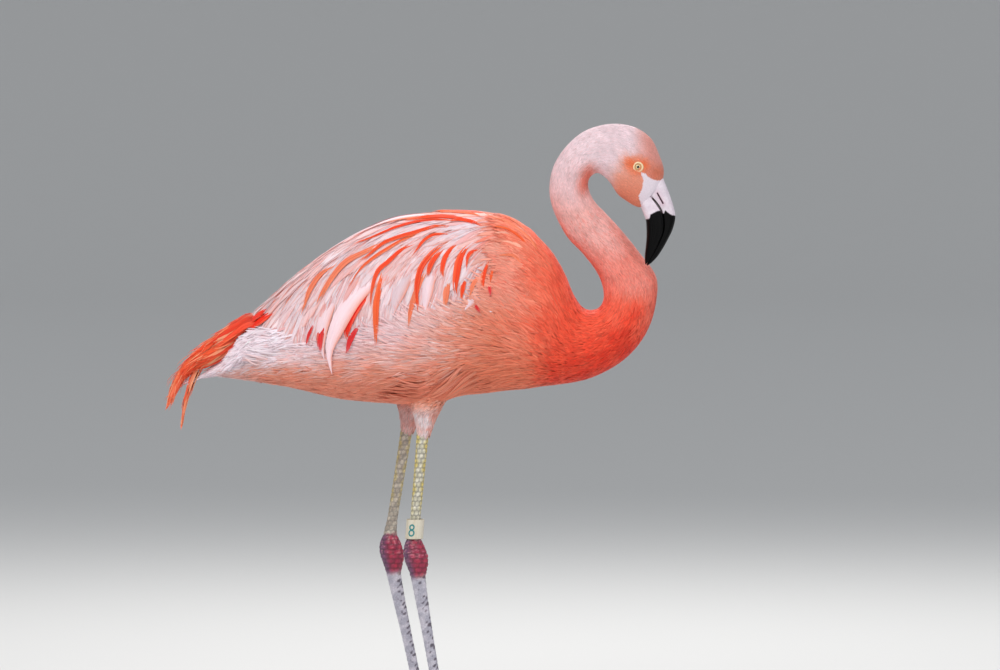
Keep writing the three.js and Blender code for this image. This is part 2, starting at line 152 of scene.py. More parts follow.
# The most that a thigh, the tail's root, and the coat over that root stand over the trunk.
THIGH_RISE, TAIL_RISE, TAIL_COVER = 20, 34, 13

# Colours of the finished bird, as screen values from 0 to 255.
LILAC = (238, 218, 228)
BLUSH = (236, 186, 180)
SALMON = (238, 152, 128)
CORAL = (240, 86, 58)
SCARLET = (224, 44, 24)
VERMILION = (255, 92, 50)
# Painted shade of the salmon plumage, for the underside.
SHADED_SALMON = (226, 122, 90)
PEACH = (232, 142, 114)
HALO = (236, 104, 56)
BARE = (232, 219, 230)
BLACK = (3, 3, 4)

# ---------------------------------------------------------------- numbers


def smooth(low, high, x):
    """An S-shaped step: 0 below low, 1 above high, and 3t^2 - 2t^3 between them."""
    t = np.clip((x - low) / (high - low), 0, 1)
    return t * t * (3 - 2 * t)


def unit(v):
    """Each vector divided by its length."""
    return v / np.maximum(np.linalg.norm(v, axis=-1, keepdims=True), 1e-9)


def mix(a, b, share):
    """Colour or place a carried to b by a share, which is an array without the last axis."""
    share = np.asarray(share)[..., None]
    return np.asarray(a, float) * (1 - share) + np.asarray(b, float) * share


def layered(colour, *layers):
    """A colour under layers of others. Each layer is a tint and the share that it covers."""
    for tint, share in layers:
        colour = mix(colour, tint, share)
    return colour


def bell(x, size):
    """exp(-(x / size)^2): 1 in the middle and 0.37 a size away."""
    return np.exp(-((x / size) ** 2))


def look_up(table, x, column=1):
    """A column of a table at x, which its first column holds, straight between the rows."""
    return np.interp(x, table[:, 0], table[:, column])


def ring_grid(along, around, start=0.0):
    """Places along a piece and angles once round it from start, as full arrays of rings."""
    turn = np.linspace(start, start + 2 * np.pi, around, endpoint=False)
    return np.meshgrid(along, turn, indexing="ij")


def ripple(place, size, seed):
    """Mottling from -1 to 1: the mean of six sine waves of about one length, in seeded
    directions, sharpened by a tanh."""
    rng = np.random.default_rng(seed)
    total = np.zeros(place.shape[:-1])
    for k in range(6):
        wave = unit(rng.normal(size=3)) * 2 * np.pi / (size * (0.7 + 0.12 * k))
        total += np.sin(place @ wave + rng.uniform(0, 2 * np.pi))
    return np.tanh(total / 2.2)


def thread(points, at, even=False):
    """Points on a Catmull-Rom curve: a cubic between knots b and c whose end slopes come from
    the neighbours a and d, with knots spaced by the root of their distance unless even."""
    ends = np.vstack([2 * points[:1] - points[1:2], points, 2 * points[-1:] - points[-2:-1]])
    i = np.clip(np.floor(at).astype(int), 0, len(points) - 2)
    a, b, c, d = (ends[i + k] for k in range(4))
    gaps = [
        1.0 if even else np.sqrt(np.linalg.norm(q - p, axis=-1, keepdims=True)) + 1e-9
        for p, q in ((a, b), (b, c), (c, d))
    ]
    before, here, after = gaps
    start = ((b - a) / before - (c - a) / (before + here) + (c - b) / here) * here
    end = ((c - b) / here - (d - b) / (here + after) + (d - c) / after) * here
    t = (at - i)[..., None]
    cubic = 2 * (b - c) + start + end
    return b + start * t + (3 * (c - b) - 2 * start - end) * t**2 + cubic * t**3


# ---------------------------------------------------------------- surfaces of stations


class Form:
    """The surface of a run of stations. at is counted in stations, angle runs from the dorsal
    line (0) over the left side, and a section is an ellipse between the dorsal and ventral
    points, or a fuller curve where power is over 2."""

    def __init__(self, table, sway, power=2.0):
        self.table, self.sway, self.power = table, sway, power
        self.last = len(table) - 1

    def section(self, at):
        """Middle, half height as a vector and half width, on curves through the stations."""
        dorsal = thread(self.table[:, 0:2], at)
        ventral = thread(self.table[:, 2:4], at)
        half = thread(self.table[:, 4:5], at, even=True)[..., 0]
        middle, up = (dorsal + ventral) / 2, (dorsal - ventral) / 2
        middle = np.stack([middle[..., 0], self.sway(at), middle[..., 1]], -1)
        up = np.stack([up[..., 0], np.zeros_like(half), up[..., 1]], -1)
        return middle, up, half

    def flat(self, at, angle, share=1.0):
        """middle + up cos(angle) + half width sin(angle), times share."""
        middle, up, half = self.section(at)
        c, s = np.cos(angle), np.sin(angle)
        full = (np.abs(c) ** self.power + np.abs(s) ** self.power) ** (-1 / self.power)
        place = middle + up * (share * full * c)[..., None]
        place[..., 1] += share * full * half * s
        return place

    def slopes(self, at, angle, step=0.02):
        """Millimetres forwards for each station, and millimetres around for each radian."""
        ahead = np.clip(at + step, 2 * step, self.last)
        along = (self.flat(ahead, angle) - self.flat(ahead - 2 * step, angle)) / (2 * step)
        around = (self.flat(at, angle + step) - self.flat(at, angle - step)) / (2 * step)
        return along, around

    def normal(self, at, angle):
        """Unit vector out of the surface: the cross product of its two slopes."""
        return unit(np.cross(*self.slopes(at, angle)))

    def point(self, at, angle, lift):
        """The surface moved out along its normal by lift."""
        lift = np.broadcast_to(lift, np.shape(at))
        return self.flat(at, angle) + self.normal(at, angle) * lift[..., None]


def body_sway(at):
    """Sideways shift of the neck: an S-shaped step from its root to its arch."""
    return SWAY["side"] * smooth(SWAY["from"], SWAY["to"], at)


def bill_sway(at):
    """Sideways shift of the bill, which grows evenly from its root to its tip."""
    return BILL_SWAY[0] + (BILL_SWAY[1] - BILL_SWAY[0]) * at / (len(UPPER_MANDIBLE) - 1)


body = Form(BODY, body_sway)
upper_bill = Form(UPPER_MANDIBLE, bill_sway, 2.2)
lower_bill = Form(LOWER_MANDIBLE, bill_sway, 2.5)
tail_form = Form(TAIL, np.zeros_like)
droop_form = Form(TAIL_DROOP, np.zeros_like)


def wing_place(at, degrees):
    """Where a place lies on the folded wing: shares along and across, ridge and thickness."""
    share = (WING_FRONT - at) / (WING_FRONT - WING_BACK)
    top, low, ridge, middle = (look_up(WING, share, k) for k in (1, 2, 3, 4))
    return share, (np.abs(degrees) - top) / (low - top), ridge, middle


def wing_lift(at, degrees):
    """Height of the folded wing over the trunk: rim + ridge (1 - a)^2 + middle sqrt(sin pi a),
    fading out past the wing's two ends and its lower edge."""
    share, across, ridge, middle = wing_place(at, degrees)
    a = np.clip(across, 0, 1)
    height = WING_RIM + ridge * (1 - a) ** 2 + middle * np.sqrt(np.sin(np.pi * a))
    ends = smooth(-0.03, 0.05, share) * smooth(1.04, 0.95, share)
    return height * ends * smooth(1.06, 0.97, across)


def over_wing(at, degrees):
    """Just over the folded wing's feathers, and 0 beside the wing."""
    return np.maximum(wing_lift(at, degrees) - 2.6, 0)


def over_thigh(at, degrees):
    """How far a thigh's plumage stands out of the trunk along the trunk's normal: its half width
    times sqrt(1 - a^2), a being the share of its half depth from its middle, and no more than
    THIGH_RISE."""
    place = body.flat(at, np.radians(degrees))
    sideways = np.maximum(np.abs(body.normal(at, np.radians(degrees))[..., 1]), 0.5)
    x, y, z = np.moveaxis(place, -1, 0)
    z = np.minimum(z, 470 + 0.7 * np.maximum(z - 470, 0))
    forward, deep, wide = (look_up(THIGH, z, k) for k in (1, 2, 3))
    rise = np.zeros(np.shape(z))
    for leg in LEGS:
        leg_x, leg_y = leg_line(leg, z)
        bulge = wide * np.sqrt(np.clip(1 - ((x - leg_x - forward) / deep) ** 2, 0, 1))
        out = (np.abs(leg_y) + bulge - np.abs(y)) / sideways
        rise = np.maximum(rise, out * (y * leg_y > 0) * (bulge > 0))
    return np.minimum(rise, THIGH_RISE) * smooth(162, 146, np.abs(degrees))


def tail_rise(at, degrees):
    """How far the tail's root stands over the rump, and no more than TAIL_RISE."""
    x, y, z = np.moveaxis(body.flat(at, np.radians(degrees)), -1, 0)
    rise = (look_up(TAIL, x) - z) * smooth(1.25, 0.6, np.abs(y) / look_up(TAIL, x, 4))
    rise = rise * smooth(-196, -206, x) * smooth(95, 70, np.abs(degrees))
    return np.clip(rise, 0, TAIL_RISE)


def over_tail(at, degrees):
    """The rise over the tail's root, at most TAIL_COVER, fading out behind it."""
    x = body.flat(at, np.radians(degrees))[..., 0]
    return np.minimum(tail_rise(at, degrees), TAIL_COVER) * smooth(-250, -232, x)


def over_all(at, degrees):
    """The highest of what stands over the trunk: the wing, a thigh or the tail."""
    return np.maximum.reduce([rise(at, degrees) for rise in (over_wing, over_thigh, over_tail)])


# ---------------------------------------------------------------- meshes


def linear(colour):
    """Screen values from 0 to 255 as linear light."""
    c = np.clip(np.asarray(colour, float) / 255, 0, 1)
    return np.where(c < 0.04045, c / 12.92, ((c + 0.055) / 1.055) ** 2.4)


def make_piece(name, points, loops, starts, material, colours, maps=None, normals=None):
    """A mesh object from arrays: points in millimetres, corners and where each face starts."""
    mesh = bpy.data.meshes.new(name)
    mesh.vertices.add(len(points))
    mesh.vertices.foreach_set("co", ((points + SHIFT) * METRE).astype(np.float32).ravel())
    mesh.loops.add(len(loops))
    mesh.loops.foreach_set("vertex_index", loops.astype(np.int32))
    mesh.polygons.add(len(starts))
    mesh.polygons.foreach_set("loop_start", starts.astype(np.int32))
    mesh.polygons.foreach_set("use_smooth", np.ones(len(starts), bool))
    if material is not None:
        mesh.materials.append(material)
    mesh.update(calc_edges=True)
    if normals is not None:
        mesh.normals_split_custom_set(normals.tolist())
    rgba = np.ones((len(points), 4), np.float32)
    rgba[:, :3] = linear(colours)
    markings = mesh.color_attributes.new("Markings", "FLOAT_COLOR", "POINT")
    markings.data.foreach_set("color", rgba.ravel())
    for title, uv in (maps or {}).items():
        layer = mesh.uv_layers.new(name=title)
        layer.data.foreach_set("uv", uv[loops].astype(np.float32).ravel())
    piece = bpy.data.objects.new(name, mesh)
    bpy.context.scene.collection.objects.link(piece)
    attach(piece, "root")
    return piece


def grid_faces(rows, around, hoop=False):
    """Corners of the four-sided faces between rings. A hoop's last ring joins its first too."""
    i, j = np.meshgrid(np.arange(rows if hoop else rows - 1), np.arange(around), indexing="ij")
    a, b = (i + 1) % rows, (j + 1) % around
    return np.stack([i * around + j, i * around + b, a * around + b, a * around + j], -1).reshape(-1, 4)


def tube_faces(rows, around):
    """Faces of a grid of rings that closes round, with a pole point before and after it."""
    quads = grid_faces(rows, around)[:, [0, 3, 2, 1]] + 1
    j = np.arange(around)
    k = (j + 1) % around
    base = 1 + (rows - 1) * around
    first = np.stack([np.zeros_like(j), 1 + j, 1 + k], -1)
    last = np.stack([base + k, base + j, np.full_like(j, base + around)], -1)
    corners = np.repeat([4, 3], [len(quads), 2 * around])
    return np.concatenate([quads.ravel(), first.ravel(), last.ravel()]), np.cumsum(corners) - corners


def closed_tube(rings):
    """Points and faces of a tube of rings (rows, around, 3), closed by a point at each end. The
    faces are turned round where the tube's signed volume shows that they look inwards."""
    rows, around = rings.shape[:2]
    points = over_tube(rings)
    loops, starts = tube_faces(rows, around)
    split = 4 * (rows - 1) * around
    quads, caps = loops[:split].reshape(-1, 4), loops[split:].reshape(-1, 3)
    halves = np.vstack([quads[:, [0, k, k + 1]] for k in (1, 2)])
    a, b, c = (points[halves[:, i]] for i in range(3))
    if np.sum(a * np.cross(b, c)) < 0:
        loops = np.concatenate([quads[:, ::-1].ravel(), caps[:, ::-1].ravel()])
    return points, loops, starts


def over_tube(values):
    """Values on a grid of rings, with a pole's before and after them: the end rings' means."""
    flat = values.reshape(-1, values.shape[-1])
    return np.vstack([values[0].mean(0), flat, values[-1].mean(0)])


def make_tube(name, rings, colours, material, node=None, maps=None):
    """A closed tube of rings as a piece, which stands for a CAD node if one is named."""
    points, loops, starts = closed_tube(rings)
    piece = make_piece(name, points, loops, starts, material, over_tube(colours), maps)
    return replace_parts(piece, node) if node else piece


def make_hoops(name, hoops, colours, material):
    """Bands of rings that run round and meet their own start, joined in one piece."""
    count, rows, around = np.shape(hoops)[:3]
    faces = grid_faces(rows, around, hoop=True)
    loops = (faces.ravel() + np.arange(count)[:, None] * rows * around).ravel()
    starts = np.arange(len(loops) // 4) * 4
    points = np.reshape(hoops, (-1, 3))
    return make_piece(name, points, loops, starts, material, colours)


# ---------------------------------------------------------------- materials


def new_material(name, **sockets):
    """A material and its shader, with the sockets that are constant set on the shader."""
    material = bpy.data.materials.new(name)
    material.use_nodes = True
    shader = material.node_tree.nodes["Principled BSDF"]
    for socket, value in sockets.items():
        shader.inputs[socket.replace("_", " ")].default_value = value
    return material, shader


def add_node(material, kind, **settings):
    """A node of that kind, with its sockets or settings set by name."""
    node = material.node_tree.nodes.new(kind)
    for key, value in settings.items():
        if key in node.inputs:
            node.inputs[key].default_value = value
        else:
            setattr(node, key, value)
    return node


def wire(material, *pairs):
    """Links each pair: an output and the input that it feeds."""
    for out, into in pairs:
        material.node_tree.links.new(out, into)


def shade_by(material, shader, source, low, high):
    """Multiplies the Markings colour by low where the source is dark and high where bright."""
    ramp = add_node(
        material, "ShaderNodeMapRange",
        **{"From Min": 0.3, "From Max": 0.7, "To Min": low, "To Max": high},
    )
    markings = add_node(material, "ShaderNodeAttribute", attribute_name="Markings")
    scale = add_node(material, "ShaderNodeVectorMath", operation="SCALE")
    wire(
        material,
        (source, ramp.inputs["Value"]),
        (markings.outputs["Color"], scale.inputs[0]),
        (ramp.outputs["Result"], scale.inputs["Scale"]),
        (scale.outputs["Vector"], shader.inputs["Base Color"]),
    )


def bump_from(material, shader, source, strength, distance):
    """Relief of that depth in metres where the source is bright."""
    bump = add_node(material, "ShaderNodeBump", Strength=strength, Distance=distance)
    wire(
        material,
        (source, bump.inputs["Height"]),
        (bump.outputs["Normal"], shader.inputs["Normal"]),
    )


def plumage_material(name, barbs, low, high, rough=0.62, strength=0.35):
    """Feather vane: fine barbs as noise stretched along the vane, in colour and in relief."""
    material, shader = new_material(
        name, Roughness=rough, Sheen_Weight=0.2, Sheen_Roughness=0.4, Specular_IOR_Level=0.25,
        Sheen_Tint=(1.0, 0.8, 0.76, 1.0),
        Subsurface_Weight=0.12, Subsurface_Radius=(1.0, 0.5, 0.4), Subsurface_Scale=0.003,
    )
    vane = add_node(material, "ShaderNodeUVMap", uv_map="Vane")
    stretch = add_node(material, "ShaderNodeMapping", Scale=(barbs, 1.2, 1.0))
    noise = add_node(material, "ShaderNodeTexNoise", Scale=1.0, Detail=3.0, Roughness=0.6)
    wire(
        material,
        (vane.outputs["UV"], stretch.inputs["Vector"]),
        (stretch.outputs["Vector"], noise.inputs["Vector"]),
    )
    shade_by(material, shader, noise.outputs["Fac"], low, high)
    bump_from(material, shader, noise.outputs["Fac"], strength, 0.0006)
    return material


def grained_material(name, size, low, high, strength, distance, kind="noise", **sockets):
    """Skin or horn: markings shaded by a grain on Object coordinates, which also lifts it."""
    material, shader = new_material(name, **sockets)
    place = add_node(material, "ShaderNodeTexCoord")
    if kind == "cells":
        grain = add_node(material, "ShaderNodeTexVoronoi", feature="DISTANCE_TO_EDGE", Scale=size)
        out = grain.outputs["Distance"]
        widen = add_node(material, "ShaderNodeMath", operation="MULTIPLY")
        widen.inputs[1].default_value = 4.0
        wire(material, (out, widen.inputs[0]))
        out = widen.outputs["Value"]
    else:
        grain = add_node(material, "ShaderNodeTexNoise", Scale=size, Detail=4.0, Roughness=0.6)
        out = grain.outputs["Fac"]
    wire(material, (place.outputs["Object"], grain.inputs["Vector"]))
    shade_by(material, shader, out, low, high)
    bump_from(material, shader, out, strength, distance)
    return material


# ---------------------------------------------------------------- markings

# Front edge of the cheek's feathers (X at a height) and lower edge of the forehead's (height at X).
CHEEK_EDGE = np.array([[709, 284], [717, 282.8], [724.7, 280], [732.5, 284], [744, 286.7], [754, 284]])
FOREHEAD_EDGE = np.array([[284, 755.5], [289, 754.6], [295.8, 748], [302, 745.5], [311, 744.9]])


def bare_face(place):
    """1 on the bare skin between the eye and the bill, 0 on the feathers."""
    x, z = place[..., 0], place[..., 2]
    ragged = 0.5 * ripple(place, 2.2, 3)
    before = smooth(-0.4, 0.4, x - look_up(CHEEK_EDGE, z) + ragged)
    return before * smooth(-0.4, 0.4, look_up(FOREHEAD_EDGE, x) - z + ragged)


def from_eye(place):
    """Distance from the eye's middle seen from the side, and the direction to it."""
    dx, dz = place[..., 0] - EYE["x"], place[..., 2] - EYE["z"]
    return np.hypot(dx, dz), np.arctan2(dz, dx)


def paint_head(place, colour):
    """Head markings over the given colour: orange round the eye, peach cheek, pale crown."""
    x, z = place[..., 0], place[..., 2]
    away, way = from_eye(place)
    mottle = ripple(place, 5, 5) * 0.5 + ripple(place, 12, 6) * 0.5
    cheek = smooth(772, 744, z + 5 * mottle) * smooth(226, 262, x)
    behind = bell(way - 2.75, 0.75) + bell(way + 2 * np.pi - 2.75, 0.75)
    before = bell(way - 0.05, 0.55)
    halo = bell(np.maximum(away - 7.5, 0), 6.0 + 7.0 * behind + 3.5 * before + 2.5 * mottle)
    return layered(
        colour,
        (PEACH, 0.9 * cheek),
        ((214, 92, 58), 0.3 * cheek * smooth(748, 722, z)),
        ((214, 128, 112), 0.75 * smooth(270, 298, x) * smooth(742, 752, z)),
        ((206, 108, 80), 0.8 * bell(x - 305, 9) * bell(z - 753, 9)),
        (HALO, np.clip(halo * (0.62 + 0.3 * behind + 0.3 * before), 0, 1)),
        (BARE, bare_face(place)),
    )


def spot(at, degrees, middle, size):
    """1 at a place on the surface, fading out in a bell over its size in stations and degrees."""
    return bell(at - middle[0], size[0]) * bell(degrees - middle[1], size[1])


def paint_wing(at, degrees, place):
    """Pale lilac pink, salmon at the shoulder and along the upper edge, white at the rear tip."""
    blot = ripple(place, 42, 71)
    crest = smooth(20, 3, degrees + 4 * blot) * smooth(3, 5, at)
    shoulder = smooth(9.3, 10.7, at + 0.3 * blot - 0.009 * degrees)
    return layered(
        (238, 214, 222),
        ((239, 192, 192), 0.8 * smooth(-0.7, 0.9, blot)),
        ((243, 128, 96), (0.1 + 0.65 * smooth(7.6, 8.8, at)) * crest),
        ((243, 230, 236), 0.85 * smooth(4.4, 3.0, at)),
        (paint_body(at, degrees, place), shoulder),
    )


def paint_body(at, degrees, place):
    """Plumage colour anywhere on the body: bands along it, then belly, chest and head; the belly's browner
    salmon is painted shade.
    """
    near = at + 0.5 * ripple(place, 46, 1)
    side = degrees + 5 * ripple(place, 38, 2)
    belly = smooth(100, 138, side) * (1 - smooth(14, 18, near)) * smooth(0.5, 4, near)
    chest = smooth(13.5, 17.5, near) * smooth(20.5, 18.5, near) * smooth(50, 120, side)
    bend = smooth(25.5, 27.5, near) * smooth(31.5, 29, near) * smooth(98, 150, side)
    nape = smooth(20, 21.5, near) * smooth(26, 24, near) * smooth(40, 12, side)
    back = smooth(60, 20, side) * smooth(8, 10, near) * smooth(14, 12.5, near)
    colour = layered(
        LILAC,
        (BLUSH, 0.7 * smooth(4.5, 8, near)),
        (SALMON, 0.85 * smooth(7.5, 11.5, near)),
        ((238, 126, 98), 0.8 * smooth(9.5, 13, near)),
        (CORAL, smooth(11.0, 15.5, near)),
        # Painted shade: the underside is browner and darker.
        (SHADED_SALMON, 0.85 * belly),
        (SCARLET, 0.8 * chest * (0.75 + 0.35 * ripple(place, 22, 4))),
        ((238, 138, 124), smooth(18.5, 21.6, near)),
        ((238, 176, 170), smooth(21.6, 24.3, near)),
        ((234, 194, 197), smooth(24.5, 27.5, near)),
        ((231, 206, 213), smooth(27.0, 30.0, near)),
        ((230, 106, 84), 0.85 * bend),
        (CORAL, 0.55 * nape),
        ((238, 112, 82), 0.5 * back),
        ((228, 142, 126), 0.55 * spot(at, degrees, (11.5, 72), (0.9, 20))),
        ((228, 192, 204), 0.5 * spot(at, degrees, (7.0, 106), (1.6, 12))),
        ((204, 100, 66), 0.35 * spot(at, degrees, (10.6, 110), (1.6, 18))),
    )
    colour = colour * (1.02 + 0.02 * ripple(place, 7, 7) + 0.03 * ripple(place, 18, 8))[..., None]
    return mix(colour, paint_head(place, colour), smooth(30.5, 33, at))


# ---------------------------------------------------------------- skin

COAT_DEPTH = np.array([
    [0, 1.5], [2, 3.2], [5, 4.4], [14, 3.8], [17, 2.8], [20, 1.9], [25, 1.2], [31, 0.8], [33, 0.7],
    [35, 0.6], [36.5, 0.45], [37, 0.3],
])
# Depth of the wing's feathers over the skin's pad.
WING_COAT = 5.0
# Stations at which the spacing of the skin's rings changes.
SKIN_BREAKS = (0.01, 16, 31.5, 37)
BARE_LEG_TOP = 430
# Toe: radius at its root and loss towards the tip, swelling of a joint, height of its middle, and
# depth and pitch of its creases.
TOE = {"root": 5.0, "taper": 1.9, "joint": 0.75, "height": 3.2, "crease": 0.16, "creases": 2.6}
# Web: heights of its two faces, and the share by which its edge is drawn in.
WEB = {"top": 2.0, "sole": 0.35, "drawn": 0.26}


def skin_lift(at, degrees, place):
    """Minus the coat's depth, with a pad of flesh under the wing and nothing cut from bare skin."""
    depth = coat_depth(at) * (1 - 0.75 * bare_face(place) * (at > 33))
    wing = wing_lift(at, degrees)
    return -depth + smooth(2, 8, wing) * (wing + depth - WING_COAT)


def leg_line(leg, z):
    """X and Y of a leg's middle: straight from knot to knot, with the knots rounded off."""
    side, knots = LEGS[leg]
    heights, (xs, ys) = KNOT_HEIGHTS[::-1], np.transpose(knots[::-1])
    x, y = np.zeros_like(z), np.zeros_like(z)
    for shift in KNOT_SPREAD:
        x += np.interp(z + shift, heights, xs) / len(KNOT_SPREAD)
        y += np.interp(z + shift, heights, ys) / len(KNOT_SPREAD)
    above = np.maximum(z - KNOT_HEIGHTS[0], 0)
    slope = (knots[0][0] - knots[1][0]) / (KNOT_HEIGHTS[0] - KNOT_HEIGHTS[1])
    return x + above * slope, side * y


def scutes(around_mm, z, tall=6.2, wide=5.6):
    """Rounded plates in staggered rows: 1 in the middle of a plate and 0 in its groove."""
    row = np.floor(z / tall)
    across = (around_mm / wide + 0.5 * (row % 2)) % 1 - 0.5
    down = (z / tall) % 1 - 0.5
    edge = (np.abs(2 * across) ** 3 + np.abs(2 * down) ** 3) ** (1 / 3)
    return 1 - smooth(0.62, 1.0, edge)


def leg_colours(leg, z, angle, place, plate):
    """Grey scaled shank with yellow edges, crimson ankle, lavender tarsus with dark spots."""
    # Painted shade: the far (left) leg gets darker shank colours, weaker yellow and fainter grey grooves
    # than the near one.
    near = leg == "right"
    front = np.cos(angle)
    yellow = smooth(0.35, 0.95, np.abs(front) + 0.25 * ripple(place, 14, 22))
    yellow = yellow * smooth(300, 340, z) * (1.0 if near else 0.6)
    dots = smooth(0.35, 0.8, ripple(place, 7, 24) + 0.5 * front - 0.25)
    tarsus = layered(
        (168, 166, 180),
        ((194, 190, 202), smooth(-0.5, 0.7, ripple(place, 16, 25))),
        ((74, 66, 78), 0.8 * dots * smooth(30, 90, z)),
        ((176, 120, 132), smooth(60, 18, z)),
    )
    ankle = layered(
        (152, 34, 68),
        ((176, 40, 70), smooth(0, 1, ripple(place, 10, 27))),
        ((112, 70, 104), smooth(-0.1, -0.8, front)),
        ((216, 150, 158), 0.7 * smooth(0.45, 0.9, ripple(place, 3.4, 28)) * smooth(244, 262, z)),
    ) * (0.72 + 0.28 * plate)[..., None]
    on_ankle = smooth(284, 276, z + 2 * ripple(place, 6, 26)) * smooth(225, 236, z - 2 * front)
    return layered(
        (198, 194, 172) if near else (158, 148, 136),
        ((226, 222, 204) if near else (190, 180, 166), smooth(-0.2, 0.6, ripple(place, 9, 21))),
        ((216, 190, 84), 0.75 * yellow),
        ((112, 108, 104), (1 - plate) * (0.62 if near else 0.5)),
        (tarsus, smooth(236, 226, z + 3 * ripple(place, 6, 23))),
        (ankle, on_ankle),
        ((226, 170, 160), smooth(424, 436, z)),
    )


def leg_tube(leg):
    """A bare leg: elliptic rings down its line, raised into plates, rows 1.2 mm apart."""
    z, angle = ring_grid(np.linspace(LEG[0, 0], LEG[-1, 0], 400), 40)
    row = np.interp(-z, -LEG[:, 0], np.arange(len(LEG)))
    forward, deep, wide = (thread(LEG[:, k : k + 1], row, even=True)[..., 0] for k in (1, 2, 3))
    x, y = leg_line(leg, z)
    place = np.stack([x + forward + deep * np.cos(angle), y + wide * np.sin(angle), z], -1)
    plate = scutes(angle * 6.4, z)
    bare = smooth(BARE_LEG_TOP, 420, z) * smooth(10, 30, z)
    wrinkle = smooth(282, 274, z) * smooth(222, 234, z) * 0.5 * ripple(place, 4.5, 30)
    lift = bare * (0.42 * (plate - 1) + wrinkle)
    outward = np.stack([np.cos(angle), np.sin(angle), 0 * z], -1)
    place = place + outward * lift[..., None]
    return place, leg_colours(leg, z, angle, place, plate)


def toe_place(leg, turn, along, across, height):
    """Carries a place from a toe's own frame to where the toe stands."""
    side = LEGS[leg][0]
    heading = math.radians(side * (turn + FOOT_TURN))
    x, y = leg_line(leg, np.array(float(KNOT_HEIGHTS[3])))
    return np.stack(np.broadcast_arrays(
        x + along * math.cos(heading) - across * math.sin(heading),
        y + along * math.sin(heading) + across * math.cos(heading),
        height,
    ), -1)


def toe_tube(leg, toe):
    """A toe: rings from the foot joint, swollen at the joints, creased above and flat below."""
    s, angle = ring_grid(np.linspace(-0.04, 1, 44), 20)
    radius = TOE["root"] - TOE["taper"] * s
    for joint in toe["joints"]:
        radius = radius + TOE["joint"] * bell(s - joint, 0.05)
    radius = radius * np.sqrt(np.clip((1.02 - s) / 0.06, 0.05, 1))
    fold = np.cos(s * toe["length"] * 2 * np.pi / TOE["creases"])
    crease = TOE["crease"] * fold * smooth(0, 0.6, np.cos(angle))
    height = TOE["height"] + (0.92 * radius + crease) * np.cos(angle)
    place = toe_place(leg, toe["turn"], s * toe["length"], radius * np.sin(angle), height)
    sole = 0.05 * (toe["turn"] % 7)
    place[..., 2] = np.maximum(place[..., 2], sole)
    return place, mix((168, 104, 120), (196, 150, 158), 0.5 + 0.5 * fold)


def web_sheet(leg, a, b):
    """Skin between two toes: from the joint to a drawn-in edge, 1.6 mm thick, rippled above."""
    s, t = np.meshgrid(np.linspace(0.06, 0.9, 24), np.linspace(0, 1, 13), indexing="ij")
    ends = [toe_place(leg, toe["turn"], s * toe["length"], 0, 0) for toe in (TOES[a], TOES[b])]
    drawn = 1 - WEB["drawn"] * smooth(0.35, 1, s) * np.sin(np.pi * t)
    root = toe_place(leg, 0, 0, 0, 0)
    upper = root + (mix(*ends, t) - root) * drawn[..., None]
    lower = upper[:, ::-1].copy()
    ripples = 0.28 * np.sin(t * np.pi * 7) * smooth(0.1, 0.5, s)
    upper[..., 2] = WEB["top"] + ripples + 0.5 * (2 * t - 1) ** 2
    lower[..., 2] = WEB["sole"]
    ring = np.concatenate([upper, lower], 1)
    return ring, mix((150, 84, 104), (184, 128, 140), smooth(-1, 1, ripple(ring, 8, 33)))


def leg_tools(leg):
    """A leg, its toes and its webs as closed tubes, for joining into the skin."""
    parts = [leg_tube(leg)] + [toe_tube(leg, toe) for toe in TOES.values()]
    parts += [web_sheet(leg, *pair) for pair in (("inner", "middle"), ("middle", "outer"))]
    return [make_tube("tool", rings, colours, None) for rings, colours in parts]


def unite(target, tools):
    """Joins closed meshes into one closed surface, tool by tool."""
    for tool in tools:
        join = target.modifiers.new("join", "BOOLEAN")
        join.operation, join.solver, join.object = "UNION", "MANIFOLD", tool
        view = bpy.context.evaluated_depsgraph_get()
        made = bpy.data.meshes.new_from_object(target.evaluated_get(view))
        target.modifiers.clear()
        old, target.data = target.data, made
        bpy.data.meshes.remove(old)
        bpy.data.objects.remove(tool)
    return target


def skin_rows():
    """Stations of the skin's rings: 110 even ones on each length, so closest on the head."""
    lengths = zip(SKIN_BREAKS, SKIN_BREAKS[1:])
    return np.unique(np.concatenate([np.linspace(low, high, 110) for low, high in lengths]))


def read_out(items, field, width, kind):
    """A field of a mesh's items as an array with a row for each item."""
    values = np.zeros(len(items) * width, kind)
    items.foreach_get(field, values)
    return values.reshape(-1, width)


